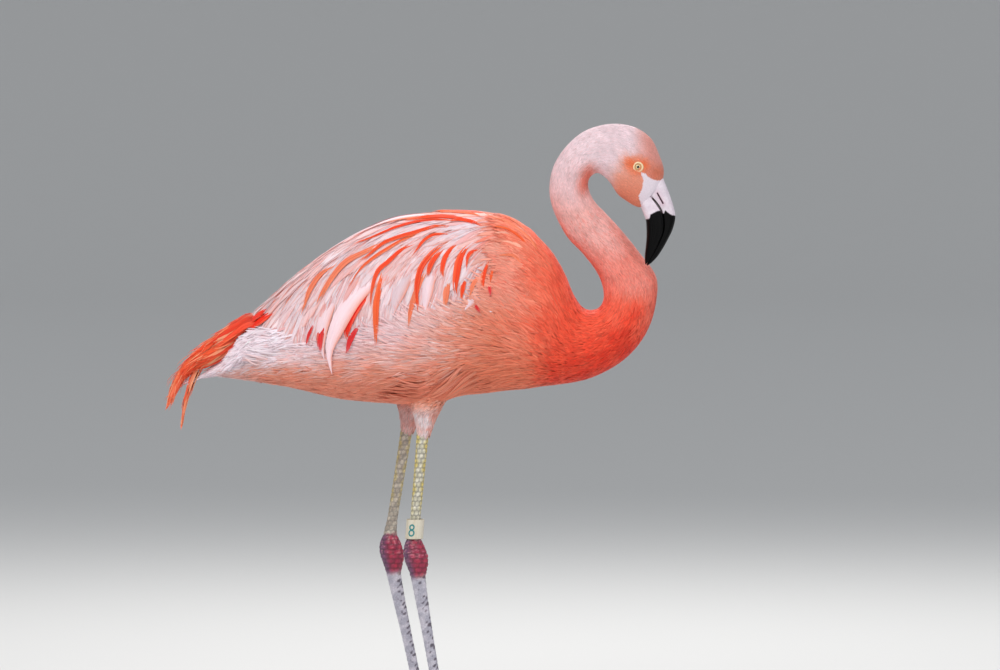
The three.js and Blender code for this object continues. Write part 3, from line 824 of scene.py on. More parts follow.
def make_skin():
    """One closed skin for trunk, neck, head, thighs, legs and feet: the body's rings moved in by
    the coat's depth and pushed in at the eyes, united with the tubes of the legs and feet."""
    at, angle = ring_grid(skin_rows(), 144, -np.pi)
    degrees = np.degrees(np.abs(angle))
    outer = body.flat(at, angle)
    place = outer + body.normal(at, angle) * skin_lift(at, degrees, outer)[..., None]
    away, _ = from_eye(place)
    socket = smooth(6.2, 3.4, away) * (at > 33) * (np.abs(np.sin(angle)) > 0.6)
    middle, _, _ = body.section(at)
    place = place + (middle - place) * (0.24 * socket)[..., None]
    # Painted shade: the skin carries the coat's markings a little darker, for the shade under the coat.
    colours = paint_body(at, degrees, outer) * 0.96
    colours = mix(colours, (236, 146, 124), 0.8 * smooth(2, 6, wing_lift(at, degrees)))
    skin = make_tube("skin", place, colours, None)
    for leg in LEGS:
        tools = leg_tools(leg)
        unite(skin, [unite(tools[0], tools[1:])])
    mesh = skin.data
    mesh.materials.clear()
    mesh.materials.append(grained_material(
        "down_skin", size=900, low=0.9, high=1.06, strength=0.3, distance=0.0004,
        Roughness=0.75, Specular_IOR_Level=0.3,
    ))
    mesh.materials.append(grained_material(
        "leg_scales", size=330, low=0.86, high=1.04, strength=0.35, distance=0.0003,
        kind="cells", Roughness=0.5, Coat_Weight=0.12,
    ))
    height = read_out(mesh.vertices, "co", 3, float)[:, 2] / METRE
    first = read_out(mesh.polygons, "loop_start", 1, np.int32)[:, 0]
    corner = read_out(mesh.loops, "vertex_index", 1, np.int32)[:, 0]
    on_leg = height[corner[first]] < BARE_LEG_TOP
    mesh.polygons.foreach_set("material_index", on_leg.astype(np.int32))
    mesh.polygons.foreach_set("use_smooth", np.ones(len(mesh.polygons), bool))
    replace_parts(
        skin, "trunk", "neck_base", "neck_lower", "neck_upper", "neck_arch", "head",
        *[f"{part}_{leg}" for leg in LEGS for part in ("thigh", "shank", "ankle", "tarsus", "foot")],
    )


# ---------------------------------------------------------------- eyes


def eye_middle(side):
    """Middle of an eyeball: let into the side of the head at the eye's station."""
    half = body.section(np.array(EYE["station"]))[2]
    y = body_sway(EYE["station"]) + side * (half - EYE["inset"])
    return np.array([EYE["x"], y, EYE["z"]])


def make_eye(name, side, material):
    """A ball of rings about the line of sight. Pupil, iris rings and rim are bands of radius."""
    polar, turn = ring_grid(np.linspace(0.004, np.pi * 0.996, 60), 64)
    bulge = 1 + 0.03 * bell(polar, 0.5)
    out = EYE["radius"] * bulge * np.cos(polar)
    away = EYE["radius"] * np.sin(polar)
    ball = np.stack([away * np.cos(turn), side * out, away * np.sin(turn)], -1)
    iris = layered(
        (240, 222, 168),
        ((226, 192, 122), smooth(1.9, 3.6, away)),
        ((250, 238, 202), 0.5 * (0.5 + 0.5 * np.cos(turn * 46 + 3 * away))),
        ((150, 104, 62), 0.8 * bell(away - 3.0, 0.3)),
    )
    pupil, rim = (5, 4, 5), (120, 84, 60)
    colours = layered(pupil, (iris, smooth(1.6, 1.9, away)), (rim, smooth(4.0, 4.7, away)))
    make_tube(name, ball + eye_middle(side), colours, material, name)


def make_lids(name, side, material):
    """Bare ring round the eye: a rounded band carried round it, ridged along and wrinkled
    across, its inner edge on the ball and its outer edge in the skin."""
    t, turn = ring_grid(np.linspace(0, 2 * np.pi, 22, endpoint=False), 120)
    reach = (LID["radius"] + LID["half"] * np.cos(t)) * (1 + LID["oval"] * np.cos(turn + 0.8))
    wrinkle = 0.10 * np.cos(turn * 40) + 0.16 * np.cos(reach * 2 * np.pi / LID["ridges"])
    out = LID["out"] + (LID["height"] + wrinkle) * np.sin(t) - LID["slope"] * (reach - 4.4)
    ring = np.stack([reach * np.cos(turn), side * out, reach * np.sin(turn)], -1) + eye_middle(side)
    colours = layered(
        (188, 120, 84),
        ((240, 214, 172), smooth(4.2, 5.0, reach) * smooth(7.6, 6.4, reach)),
        ((222, 160, 122), 0.5 * smooth(-0.2, -1, np.sin(turn))),
    )
    outwards = slice(None, None, -side)
    make_hoops(name, [ring[outwards]], colours[outwards].reshape(-1, 3), material)


# ---------------------------------------------------------------- bill

# Height of the ragged edge where the bill turns black, at each X.
BLACK_EDGE = np.array([
    [286, 694], [290.5, 694.5], [294.5, 695.5], [296, 701], [300, 703], [305, 705.5],
    [308.5, 706], [310.5, 702.5], [313.5, 702], [315, 706.5], [319, 703], [323, 700.5], [330, 698.5],
])
NOSTRIL = np.array([[304.9, 728.6], [312.2, 715.4]])


def bill_black(place):
    """1 below the ragged edge where the bill turns black."""
    edge = look_up(BLACK_EDGE, place[..., 0])
    return smooth(0.9, -0.9, place[..., 2] - edge + 0.35 * ripple(place, 1.7, 41))


def from_nostril(place):
    """Distance in profile from the nostril's slit."""
    start, end = NOSTRIL
    flat = place[..., [0, 2]] - start
    run = end - start
    t = np.clip(flat @ run / (run @ run), 0, 1)
    return np.linalg.norm(flat - t[..., None] * run, axis=-1)


def bill_colours(place, gape_shade):
    """Lilac white at the root, pinker round the nostril, black past the edge, and painted shade in the
    nostril's slit and at the gape.
    """
    slit = from_nostril(place)
    black = bill_black(place)
    return layered(
        (219, 206, 217),
        ((225, 214, 224), smooth(-0.6, 0.8, ripple(place, 9, 42))),
        ((214, 180, 194), 0.5 * bell(slit, 4)),
        # Painted shade in the nostril's slit.
        ((52, 18, 34), smooth(1.2, 0.5, slit)),
        (BLACK, black),
        # Painted shade at the gape, where the mandibles meet.
        (mix((58, 34, 40), (4, 4, 5), black), gape_shade),
    )


def make_bill(name, form, is_upper, material):
    """A mandible: rings from inside the face to the tip, with the gape's groove, the nostril's
    slit, and long furrows beside the ridge and down the lower sides."""
    start = -0.35 if is_upper else -0.3
    at, angle = ring_grid(np.linspace(start, form.last - 0.01, 230), 128, -np.pi)
    place = form.flat(at, angle)
    degrees = np.degrees(np.abs(angle))
    mouth = 180 - degrees if is_upper else degrees
    tip = smooth(form.last, form.last - 1.6, at)
    middle, up, _ = form.section(at)
    steep = np.abs(np.sin(angle)) + 1e-6
    boxed = steep ** (0.78 * smooth(40, 90, mouth) - 0.78)
    place[..., 1] = middle[..., 1] + (place[..., 1] - middle[..., 1]) * (1 + (boxed - 1) * tip)
    furrow = sum(bell(degrees - line, 3.2) for line in ((38, 62) if is_upper else (92, 112)))
    lift = -0.34 * furrow * smooth(1.6, 2.6, at) * tip
    if is_upper:
        slit = from_nostril(place)
        lift = lift - 1.0 * smooth(1.4, 0.4, slit) * (np.abs(np.sin(angle)) > 0.3)
        lift = lift + 0.35 * bell(slit - 2.3, 0.9)
        lift = lift + 0.5 * smooth(26, 8, degrees) * tip * smooth(0, 1.5, at)
    lift = lift - 0.9 * smooth(0.05, -0.3, at)
    place = place + form.normal(np.maximum(at, 0.02), angle) * lift[..., None]
    shut = np.where(mouth < 90, np.cos(np.radians(mouth)) ** 4, 0) * 0.55
    place = place + unit(up) * (shut * (-1 if is_upper else 1) * tip)[..., None]
    # Painted shade on the faces where the mandibles meet, at the gape.
    gape_shade = smooth(33, 24, mouth) * smooth(0.1, 0.4, at)
    make_tube(name, place, bill_colours(place, gape_shade), material, name)


# ---------------------------------------------------------------- claws and ring


def make_claws(leg, material):
    """Curved claws: round rings that taper to a blunt tip and bend down to the floor."""
    for which, toe in TOES.items():
        s, angle = ring_grid(np.linspace(-0.12, 1, 18), 16)
        radius = CLAW["radius"] * np.clip(1 - np.maximum(s, 0), 0, 1) ** 0.55 + CLAW["blunt"]
        bend = (CLAW["tip"] - CLAW["root"]) * np.clip(s, 0, 1) ** 2
        height = CLAW["root"] + bend + radius * np.cos(angle)
        along = toe["length"] + s * toe["claw"]
        place = toe_place(leg, toe["turn"], along, 0.8 * radius * np.sin(angle), height)
        place[..., 2] = np.maximum(place[..., 2], 0.02)
        tone = 0.5 + 0.5 * np.cos(s * 40)
        colours = mix((34, 28, 30), (74, 62, 62), tone * smooth(0.9, 0.1, s))
        name = f"claw_{leg}_{which}"
        make_tube(name, place, colours, material, name)


def ring_radius(turn):
    """Inner radius of the wound strip, which grows along its turn so that the ends lap."""
    return RING["inner"] + (RING["thick"] + RING["gap"]) * smooth(0, RING_TURNS, turn)


def ring_place(radius, turn, z):
    """Carries radius, turn and height on the ring to the leg."""
    x, y = leg_line("right", z)
    turned = turn + math.radians(RING["turned"])
    return np.stack(np.broadcast_arrays(x + radius * np.cos(turned), y + radius * np.sin(turned), z), -1)


def make_ring(material):
    """A wound strip: a rounded rectangle carried along a spiral whose ends lap."""
    low, high, thick, curve = RING["low"], RING["high"], RING["thick"] - RING["gap"], RING["round"]
    corners = np.array([
        (thick - curve, low + 1), (thick - curve, high - 1), (curve, high - 1), (curve, low + 1)
    ])
    way = np.radians(90 * np.arange(4)[:, None] + 22.5 * np.arange(5) - 90)
    outline = corners[:, None] + np.stack([curve * np.cos(way), np.sin(way)], -1)
    across, height = outline.reshape(-1, 2).T
    turn, across = np.meshgrid(np.linspace(0, RING_TURNS, 160), across, indexing="ij")
    place = ring_place(ring_radius(turn) + across, turn, height + 0 * turn)
    edge = smooth(1.6, 0.4, np.minimum(place[..., 2] - low, high - place[..., 2]))
    colours = layered(
        (236, 232, 216),
        ((214, 206, 184), smooth(-0.2, 1, ripple(place, 6, 51))),
        ((168, 156, 136), 0.6 * edge),
        ((120, 112, 104), 0.9 * smooth(0.10, 0.0, np.minimum(turn, RING_TURNS - turn))),
    )
    make_tube("leg_ring", place, colours, material, "leg_ring")


def make_numeral(material):
    """The numeral 8: two flat rings, one on the other, lying on the leg ring's outer face."""
    face = (-math.pi / 2 - math.radians(RING["turned"]) + NUMERAL["aim"]) % (2 * math.pi)
    half, deep = NUMERAL["stroke"] / 2, NUMERAL["thick"]
    section = np.array([(-half, 0), (half, 0), (half, deep), (-half, deep)])
    way = np.linspace(0, 2 * np.pi, 40, endpoint=False)[:, None]
    out = ring_radius(face) + RING["thick"] - deep + section[:, 1]
    hoops = []
    for centre, size in NUMERAL["rings"]:
        reach = size + section[:, 0]
        u, v = reach * np.cos(way), centre + reach * 1.15 * np.sin(way)
        hoops.append(ring_place(out + 0 * u, face + u / NUMERAL["radius"], NUMERAL["height"] + v))
    colours = np.broadcast_to(NUMERAL["tint"], (np.size(hoops) // 3, 3))
    piece = make_hoops("ring_numeral", hoops, colours, material)
    piece.data.polygons.foreach_set("use_smooth", np.zeros(len(piece.data.polygons), bool))


# ---------------------------------------------------------------- coat

# Sections of a tuft, counter-clockwise in shares of its half width and thickness.
SHAPES = {
    "splinter": np.array([(-1, -0.2), (1, -0.2), (0, 1)]),
    "lens": np.array([(-1, 0), (0, -0.6), (1, 0), (0, 1)]),
    "blade": np.array([(-1, -0.15), (0, -0.35), (1, -0.15), (0.5, 0.55), (0, 1), (-0.5, 0.55)]),
}
# Steps of the low-discrepancy sequence: the plastic number's inverse and its square.
EVEN_STEPS = (0.7548776662, 0.5698402910)
# Slopes are read from this station on, because a surface is narrow before it.
FIRST_AT = 0.05
# Degrees by which tufts point below tailwards: degrees round the body, on its front, on its rear.
FLOW = np.array([
    [0, 0, 0], [60, 5, 0], [90, -12, -8], [100, -30, -14], [113, -18, -8], [124, 0, 2],
    [140, 16, 12], [160, 8, 6], [180, 0, 0],
])


def scatter(form, count, span, weight, seed):
    """Even places on a surface: a low-discrepancy sequence is carried through the running total
    of the weighted area, along the stations first and then round each section."""
    rows, columns = 260, 360
    at = (np.arange(rows)[:, None] + 0.5) / rows * (span[1] - span[0]) + span[0]
    angle = (np.arange(columns)[None, :] + 0.5) / columns * 2 * np.pi - np.pi
    at, angle = np.broadcast_arrays(at, angle)
    area = np.linalg.norm(np.cross(*form.slopes(at, angle)), axis=-1)
    area = area * weight(at, np.degrees(angle), form.flat(at, angle)) + 1e-9
    along = np.concatenate([[0], np.cumsum(area.sum(1))])
    across = np.cumsum(area, axis=1)
    across = across / across[:, -1:]
    rng = np.random.default_rng(seed)
    index = np.arange(count) + rng.uniform(0, 1000)
    blur = 0.6 / math.sqrt(count)
    u = (index * EVEN_STEPS[0] + rng.uniform(-blur, blur, count)) % 1
    v = (index * EVEN_STEPS[1] + rng.uniform(-blur, blur, count)) % 1
    row = np.interp(u, along / along[-1], np.arange(rows + 1))
    cell = np.minimum(row.astype(int), rows - 1)
    totals = (np.arange(rows)[:, None] + across).ravel()
    column = np.interp(cell + v, totals, np.arange(rows * columns)) - cell * columns + 1
    return span[0] + row / rows * (span[1] - span[0]), column / columns * 2 * np.pi - np.pi


def walk(form, at, angle, length, lie, bend, rings):
    """Lines over a surface, in equal steps. A step of ds lowers at by ds cos(lie) over the
    millimetres in a station, and moves angle downwards by ds sin(lie) over those in a radian."""
    side = np.where(angle < 0, -1.0, 1.0)
    step = length / rings
    ats, angles = [at], [angle]
    for k in range(rings):
        along, around = form.slopes(np.clip(ats[-1], FIRST_AT, form.last), angles[-1])
        way = np.radians(lie + bend * (k + 0.5) / rings)
        ahead = np.maximum(np.linalg.norm(along, axis=-1), 4)
        aside = np.maximum(np.linalg.norm(around, axis=-1), 6)
        ats.append(ats[-1] - step * np.cos(way) / ahead)
        angles.append(angles[-1] + side * step * np.sin(way) / aside)
    return np.stack(ats, -1), np.stack(angles, -1)


def on_surface(form, at, angle, lift):
    """Points at a lift over the surface, which runs straight on past its first station."""
    inside = np.maximum(at, FIRST_AT)
    place = form.point(inside, angle, lift)
    along, _ = form.slopes(inside, angle)
    return place + along * (at - inside)[..., None]


def sweep(line, up, half, thick, shape):
    """Tubes along lines of rings. Each ring is the section laid out by the side vector
    up x ahead times the half width and by ahead x side times the thickness."""
    ahead = unit(np.gradient(line, axis=1))
    aside = unit(np.cross(up, ahead))
    rise = np.cross(ahead, aside)
    section = SHAPES[shape]
    wide = (half[..., None] * section[:, 0])[..., None]
    tall = (thick[..., None] * section[:, 1])[..., None]
    return line[:, :, None] + aside[:, :, None] * wide + rise[:, :, None] * tall, rise


class Coat:
    """Tufts gathered into one mesh, with their colours, their normals and the two maps."""

    def __init__(self, form):
        self.form = form
        self.points, self.loops, self.starts = [], [], []
        self.colours, self.bake, self.vane, self.normals = [], [], [], []
        self.count, self.corners = 0, 0

    def add(self, line, up, half, thick, colours, root, length, shape, rng):
        """Closed tubes along the first rings of each line, which end in its last point. Upper
        faces take a soft normal near the line's own, and the under ones point down."""
        section = SHAPES[shape]
        rings, sides = line.shape[1] - 1, len(section)
        tubes, rise = sweep(line, up, half, thick, shape)
        tubes = tubes[:, :rings]
        many = len(tubes)
        points = np.concatenate([tubes.reshape(many, -1, 3), line[:, -1:]], 1)
        size = rings * sides + 1
        quads = grid_faces(rings, sides)
        j = np.arange(sides)
        last = (rings - 1) * sides
        tips = np.stack([last + j, last + (j + 1) % sides, np.full(sides, size - 1)], -1)
        pattern = np.concatenate([quads.ravel(), j[::-1], tips.ravel()])
        corners = np.repeat([4, sides, 3], [len(quads), 1, sides])
        first = np.cumsum(corners) - corners
        whole = np.arange(many)[:, None]
        self.loops.append((pattern + whole * size + self.count).ravel())
        self.starts.append((first + whole * len(pattern) + self.corners).ravel())
        self.points.append(points.reshape(-1, 3))
        self.count += many * size
        self.corners += many * len(pattern)

        down = -np.concatenate([np.repeat(rise[:, :rings], sides, 1), rise[:, -1:]], 1)
        outward = unit(tubes - line[:, :rings, None])
        soft = unit(up[:, :rings, None] + 0.3 * outward)
        soft = np.concatenate([soft.reshape(many, -1, 3), up[:, -1:]], 1)
        above = (section[:, 0] - np.roll(section[:, 0], -1)) > 0
        above = np.concatenate([
            np.repeat(np.tile(above, rings - 1), 4), np.zeros(sides, bool), np.repeat(above, 3)
        ])
        corner = np.where(above[:, None], soft[:, pattern], down[:, pattern])
        self.normals.append(corner.reshape(-1, 3))

        if colours.ndim == 3:
            colours = np.repeat(colours[:, :, None], sides, 2)
        along = colours[:, :rings].reshape(many, -1, 3)
        self.colours.append(np.concatenate([along, colours[:, -1:, 0]], 1).reshape(-1, 3))
        s = np.append(np.repeat(np.arange(rings) / rings, sides), 1.0)
        across = np.append(np.tile(section[:, 0] / 2 + 0.5, rings), 0.5)
        at, angle = root
        place = np.stack([at / self.form.last, angle / (2 * np.pi) + 0.5], -1) * 0.98 + 0.008
        patch = np.stack([across, s], -1) * 0.003
        self.bake.append((place[:, None] + patch).reshape(-1, 2))
        shift = rng.uniform(0, 40, (many, 1, 2))
        vane = np.stack(np.broadcast_arrays(across, s * length[:, None] / 15), -1)
        self.vane.append((vane + shift).reshape(-1, 2))

    def build(self, name, material):
        """The gathered tufts as a piece."""
        return make_piece(
            name, np.vstack(self.points), np.concatenate(self.loops), np.concatenate(self.starts),
            material, np.vstack(self.colours),
            {"OFBake": np.vstack(self.bake), "Vane": np.vstack(self.vane)}, np.vstack(self.normals),
        )


def coat_depth(at):
    """Depth of the body's coat under its outer surface, from the table."""
    return look_up(COAT_DEPTH, at)


def body_lie(at, degrees):
    """Degrees by which tufts point below tailwards, from the dorsal line (0) to the belly."""
    front, rear = (look_up(FLOW, np.abs(degrees), k) for k in (1, 2))
    flow = rear + (front - rear) * smooth(6.5, 8.5, at)
    return flow * smooth(2, 4, at) * (1 - smooth(12.5, 15, at))


# What a tuft is like where its coat says nothing else.
USUAL = {
    "jitter": 6, "bend": 8, "stand": 0.5, "loose": 0.35, "slope": 0.3, "white": 0.2, "red": 0.1,
    # "root" is painted shade: the share of its colour that a tuft keeps at its root, under the tufts over
    # it.
    "spread": 0.05, "root": 0.86, "lie": body_lie, "depth": coat_depth, "limit": None, "edge": None,
}


def tuft_tint(colour, rng, spread, white, red):
    """A tuft's own shade: brighter or darker, now and then paler or redder."""
    many = len(colour)
    colour = mix(colour, (246, 232, 236), white * rng.uniform(0, 1, many) ** 2)
    colour = mix(colour, SCARLET, red * rng.uniform(0, 1, many) ** 3)
    return colour * (1 + spread * rng.normal(size=(many, 1)))


# Lower rear edge of the wing's own feathers: station and degrees.
REAR_EDGE = np.array([[2.2, 16], [3.0, 42], [4.0, 62], [4.5, 76], [5.2, 104], [6.3, 110]])


def eased(lift, step, slope):
    """Heights along lines, raised so that they neither rise nor fall more steeply than slope."""
    lift, last = lift.copy(), lift.shape[1] - 1
    for k in range(1, last + 1):
        lift[:, k] = np.maximum(lift[:, k], lift[:, k - 1] - slope * step)
    for k in range(last - 1, 0, -1):
        lift[:, k] = np.maximum(lift[:, k], lift[:, k + 1] - slope * step)
    return lift


def lay_tufts(coat, at, angle, look, seed, ground=None):
    """Tufts from roots in the skin to tips just over the outer surface: the lift is
    -(depth + 0.3) (1 - s)^2.2 + stand s over the ground. look holds what isn't as in USUAL."""
    look = {**USUAL, **look}
    rng = np.random.default_rng(seed)
    many = len(at)
    form = coat.form
    rings = look["rings"]
    degrees = np.degrees(angle)
    length = look["length"] * rng.uniform(0.75, 1.25, many)
    if look["limit"]:
        length = np.minimum(length, look["limit"](at, angle) * rng.uniform(0.9, 1.1, many))
    lie = look["lie"](at, degrees) + look["jitter"] * rng.normal(size=many)
    bend = look["bend"] * rng.normal(size=many)
    ats, angles = walk(form, at, angle, length, lie, bend, rings)
    s = np.linspace(0, 1, rings + 1)
    stand = (look["stand"] + look["loose"] * rng.normal(size=many))[:, None]
    lift = -(look["depth"](at)[:, None] + 0.3) * (1 - s) ** 2.2 + stand * s
    if ground is not None:
        rise = ground(np.maximum(ats, FIRST_AT), np.degrees(angles))
        lift = lift + eased(rise, length / rings, look["slope"])
    line = on_surface(form, ats, angles, lift)
    up = form.normal(np.clip(ats, FIRST_AT, form.last), angles)
    swell = np.sin(np.pi * np.clip(0.22 + 0.72 * s, 0, 1)) ** 0.8
    half = look["half"] * rng.uniform(0.8, 1.2, many)[:, None] * swell
    thick = look["thick"] * (0.35 + 0.65 * swell) * np.ones((many, 1))
    waist = np.maximum(ats[:, rings // 2], FIRST_AT)
    colour = look["paint"](waist, np.abs(degrees), form.flat(waist, angles[:, rings // 2]))
    white = look["white"] * (1 - 0.8 * smooth(9.0, 10.8, at - 0.008 * np.abs(degrees)))
    white = white * (1 - 0.75 * smooth(118, 145, np.abs(degrees)))
    colour = tuft_tint(colour, rng, look["spread"], white, look["red"])
    # Painted shade: each tuft starts at its root share of its colour, where it lies under the tufts over
    # it, and comes up to full colour by its middle.
    shade = look["root"] + (1 - look["root"]) * smooth(0, 0.5, s)
    colours = colour[:, None] * shade[None, :, None]
    if look["edge"]:
        across = SHAPES[look["shape"]][:, 0] * -np.where(angle < 0, -1, 1)[:, None]
        rim = smooth(0.35, 1.0, across) * look["edged"] * rng.uniform(0, 1, (many, 1))
        along = smooth(0.1, 0.5, s)[None, :, None]
        colours = mix(colours[:, :, None], look["edge"], rim[:, None] * along)
    coat.add(line, up, half, thick, colours, (at, angle), length, look["shape"], rng)


def grow(coat, count, span, weight, look, seeds, ground=None):
    """Tufts on a stretch of the coat's form; one seed is for their places, one for the tufts."""
    at, angle = scatter(coat.form, count, span, weight, seeds[0])
    lay_tufts(coat, at, angle, look, seeds[1], ground)


def off_wing(at, degrees):
    """1 where a root isn't under the folded wing, or lies on its lower rear edge."""
    degrees = np.abs(degrees)
    edge = look_up(REAR_EDGE, at) + 5 * np.sin(at * 23) + 4 * np.sin(at * 41)
    on_edge = (at < REAR_EDGE[-1, 0]) * (degrees > edge)
    on_front = at > 11.3 + 0.25 * np.sin(degrees * 0.21)
    return np.maximum(np.maximum(wing_lift(at, degrees) < 3.5, on_edge), on_front) * 1.0


def everywhere(at, degrees, place):
    """The same weight all over."""
    return 1.0 + 0 * at


def stretch(low, high):
    """A weight of 1 from one station to another, which comes in and goes out over a station."""
    return lambda at, degrees, place: smooth(low, low + 1, at) * (1 - smooth(high, high + 1, at))


def make_coat(name, material, count, span, weight, look, seed, form=None, ground=None):
    """A piece of the coat: one kind of tuft on a stretch of the body, or of another form."""
    coat = Coat(form or body)
    grow(coat, count, span, weight, look, (seed, seed + 1), ground)
    coat.build(name, material)


def head_weight(at, degrees, place):
    """The feathered part of the head: not by the eye nor on the bare face, closest in front."""
    away, _ = from_eye(place)
    feathered = (away > 7.4) * (bare_face(place) < 0.3)
    return feathered * smooth(30.4, 31.6, at) * (1 + 0.8 * smooth(33, 35, at)) * (at < 36.9)


def chest_weight(at, degrees, place):
    """Breast and root of the neck: steps in behind along a wavy line, and out in front."""
    behind = smooth(10.8, 13.2, at + 0.4 * np.sin(np.radians(degrees) * 3))
    return behind * off_wing(at, degrees) * (1 - smooth(19.4, 20.4, at))


def trunk_weight(at, degrees, first):
    """The trunk off the wing, from a first station to the breast, where a wavy line ends it."""
    front = 1 - smooth(12.6, 15.8, at + 0.4 * np.sin(np.radians(degrees) * 3))
    return front * off_wing(at, degrees) * smooth(first, 4.0, at)


def thigh_form(leg):
    """The thigh's plumage as stations from its lower end up: front and rear points and half
    width. The half width is negative, so that normals face out on a run that goes upwards."""
    z, forward, deep, wide = THIGH.T
    middle = leg_line(leg, z)[0] + forward
    table = np.stack([middle + deep, z, middle - deep, z, -wide], -1)

    def sway(at):
        return leg_line(leg, np.interp(at, np.arange(len(table)), z))[1]

    return Form(table, sway)


def paint_thigh(leg):
    """The colouring of a thigh: pale pink lilac with a salmon front edge, the far one darkened by painted
    shade.
    """
    def paint(at, degrees, place):
        return layered(
            (237, 216, 218),
            ((232, 192, 188), smooth(-0.4, 0.8, ripple(place, 16, 62))),
            ((226, 140, 120), 0.7 * smooth(80, 20, degrees + 25 * ripple(place, 14, 61))),
            ((234, 142, 114), smooth(2.5, 3.6, at)),
            # Painted shade on the far (left) thigh.
            ((196, 116, 104), 0.45 if leg == "left" else 0.0),
        )
    return paint


def make_coats(material):
    """The body's coat: head, two lengths of neck, chest, mantle, flanks, rear and thighs."""
    fine = {"rings": 3, "shape": "splinter", "paint": paint_body}
    make_coat(
        "coat_head", material, 10000, (30.4, 36.95), head_weight,
        {**fine, "length": 6.2, "half": 0.85, "thick": 0.14, "stand": 0.16, "loose": 0.05,
         "jitter": 9, "spread": 0.025, "white": 0.1, "red": 0.05, "root": 1.0}, 101,
    )
    make_coat(
        "coat_neck_upper", material, 8000, (24.6, 31.6), stretch(24.6, 30.6),
        {**fine, "length": 10, "half": 1.15, "thick": 0.14, "stand": 0.13, "loose": 0.06,
         "jitter": 8, "spread": 0.03, "white": 0.14, "red": 0.07, "root": 1.0}, 111,
    )
    make_coat(
        "coat_neck_lower", material, 8000, (19.4, 25.6), stretch(19.4, 24.6),
        {**fine, "length": 14, "half": 1.35, "thick": 0.16, "stand": 0.16, "loose": 0.07,
         "jitter": 8, "spread": 0.035, "white": 0.12, "red": 0.2, "root": 1.0}, 121,
    )
    make_coat(
        "coat_chest", material, 9200, (10.6, 20.4), chest_weight,
        {**fine, "length": 21, "half": 1.6, "thick": 0.2, "stand": 0.27, "loose": 0.14,
         "jitter": 10, "white": 0.16, "red": 0.25, "root": 0.94}, 131, ground=over_all,
    )
    long = {**fine, "thick": 0.35, "root": 0.95}
    make_coat(
        "coat_mantle", material, 4800, (2.5, 15.8),
        lambda at, degrees, place: (
            trunk_weight(at, degrees, 2.5) * (1 - smooth(64, 78, np.abs(degrees)))
        ),
        {**long, "length": 36, "half": 1.65, "stand": 0.5, "loose": 0.3, "rings": 5,
         "jitter": 7, "white": 0.2, "red": 0.3, "spread": 0.035}, 141, ground=over_all,
    )
    for name, side in (("right", -1), ("left", 1)):
        make_coat(
            f"coat_flank_{name}", material, 4200, (2.0, 15.8),
            lambda at, degrees, place: (
                trunk_weight(at, degrees, 2.0) * smooth(64, 78, np.abs(degrees)) * (degrees * side > 0)
            ),
            {**long, "length": 50, "half": 1.5, "stand": 0.8, "loose": 0.3, "rings": 6, "jitter": 6,
             "bend": 13, "white": 0.45, "red": 0.14, "spread": 0.035}, 151 + side, ground=over_all,
        )
    make_coat(
        "coat_rear", material, 5500, (0.05, 5.0),
        lambda at, degrees, place: off_wing(at, degrees) * (1 - smooth(3.0, 5.0, at)),
        {**long, "length": 30, "half": 1.2, "stand": 1.4, "loose": 0.9, "rings": 4,
         "jitter": 10, "bend": 14, "white": 0.5, "red": 0.03}, 171, ground=over_all,
    )
    thigh = {
        "rings": 3, "shape": "splinter", "length": 12, "half": 1.1, "thick": 0.6, "stand": 0.4,
        "loose": 0.4, "jitter": 9, "white": 0.3,
        "depth": lambda at: np.interp(at, [0, 1, 2, 3, 5], [1.0, 2.6, 4.8, 6, 7]),
        "lie": lambda at, degrees: 74 * smooth(2.4, 3.6, at),
    }
    for leg in LEGS:
        make_coat(
            f"coat_thigh_{leg}", material, 1500, (0.35, 3.7), everywhere,
            {**thigh, "paint": paint_thigh(leg)}, 181, form=thigh_form(leg),
        )


# ---------------------------------------------------------------- wings and tail

WING_TINTS = {
    "coral": (246, 62, 18), "salmon": (242, 122, 88), "orange": (246, 92, 44), "red": (236, 22, 6),
    "pale": (236, 206, 214), "plume": (237, 205, 212),
    "blush": (240, 164, 142), "tail": (242, 40, 14), "crimson": (222, 40, 44),
}
PALE_TINTS = ("pale", "plume", "blush")
# Degrees below tailwards of the wing's feathers, by degrees round the body.
WING_FLOW = np.array([
    [0, 3], [15, 8], [27, 20], [43, 42], [53, 62], [60, 76], [72, 84], [95, 88], [120, 90],
])
WING_SPAN = (2.6, 12.3)
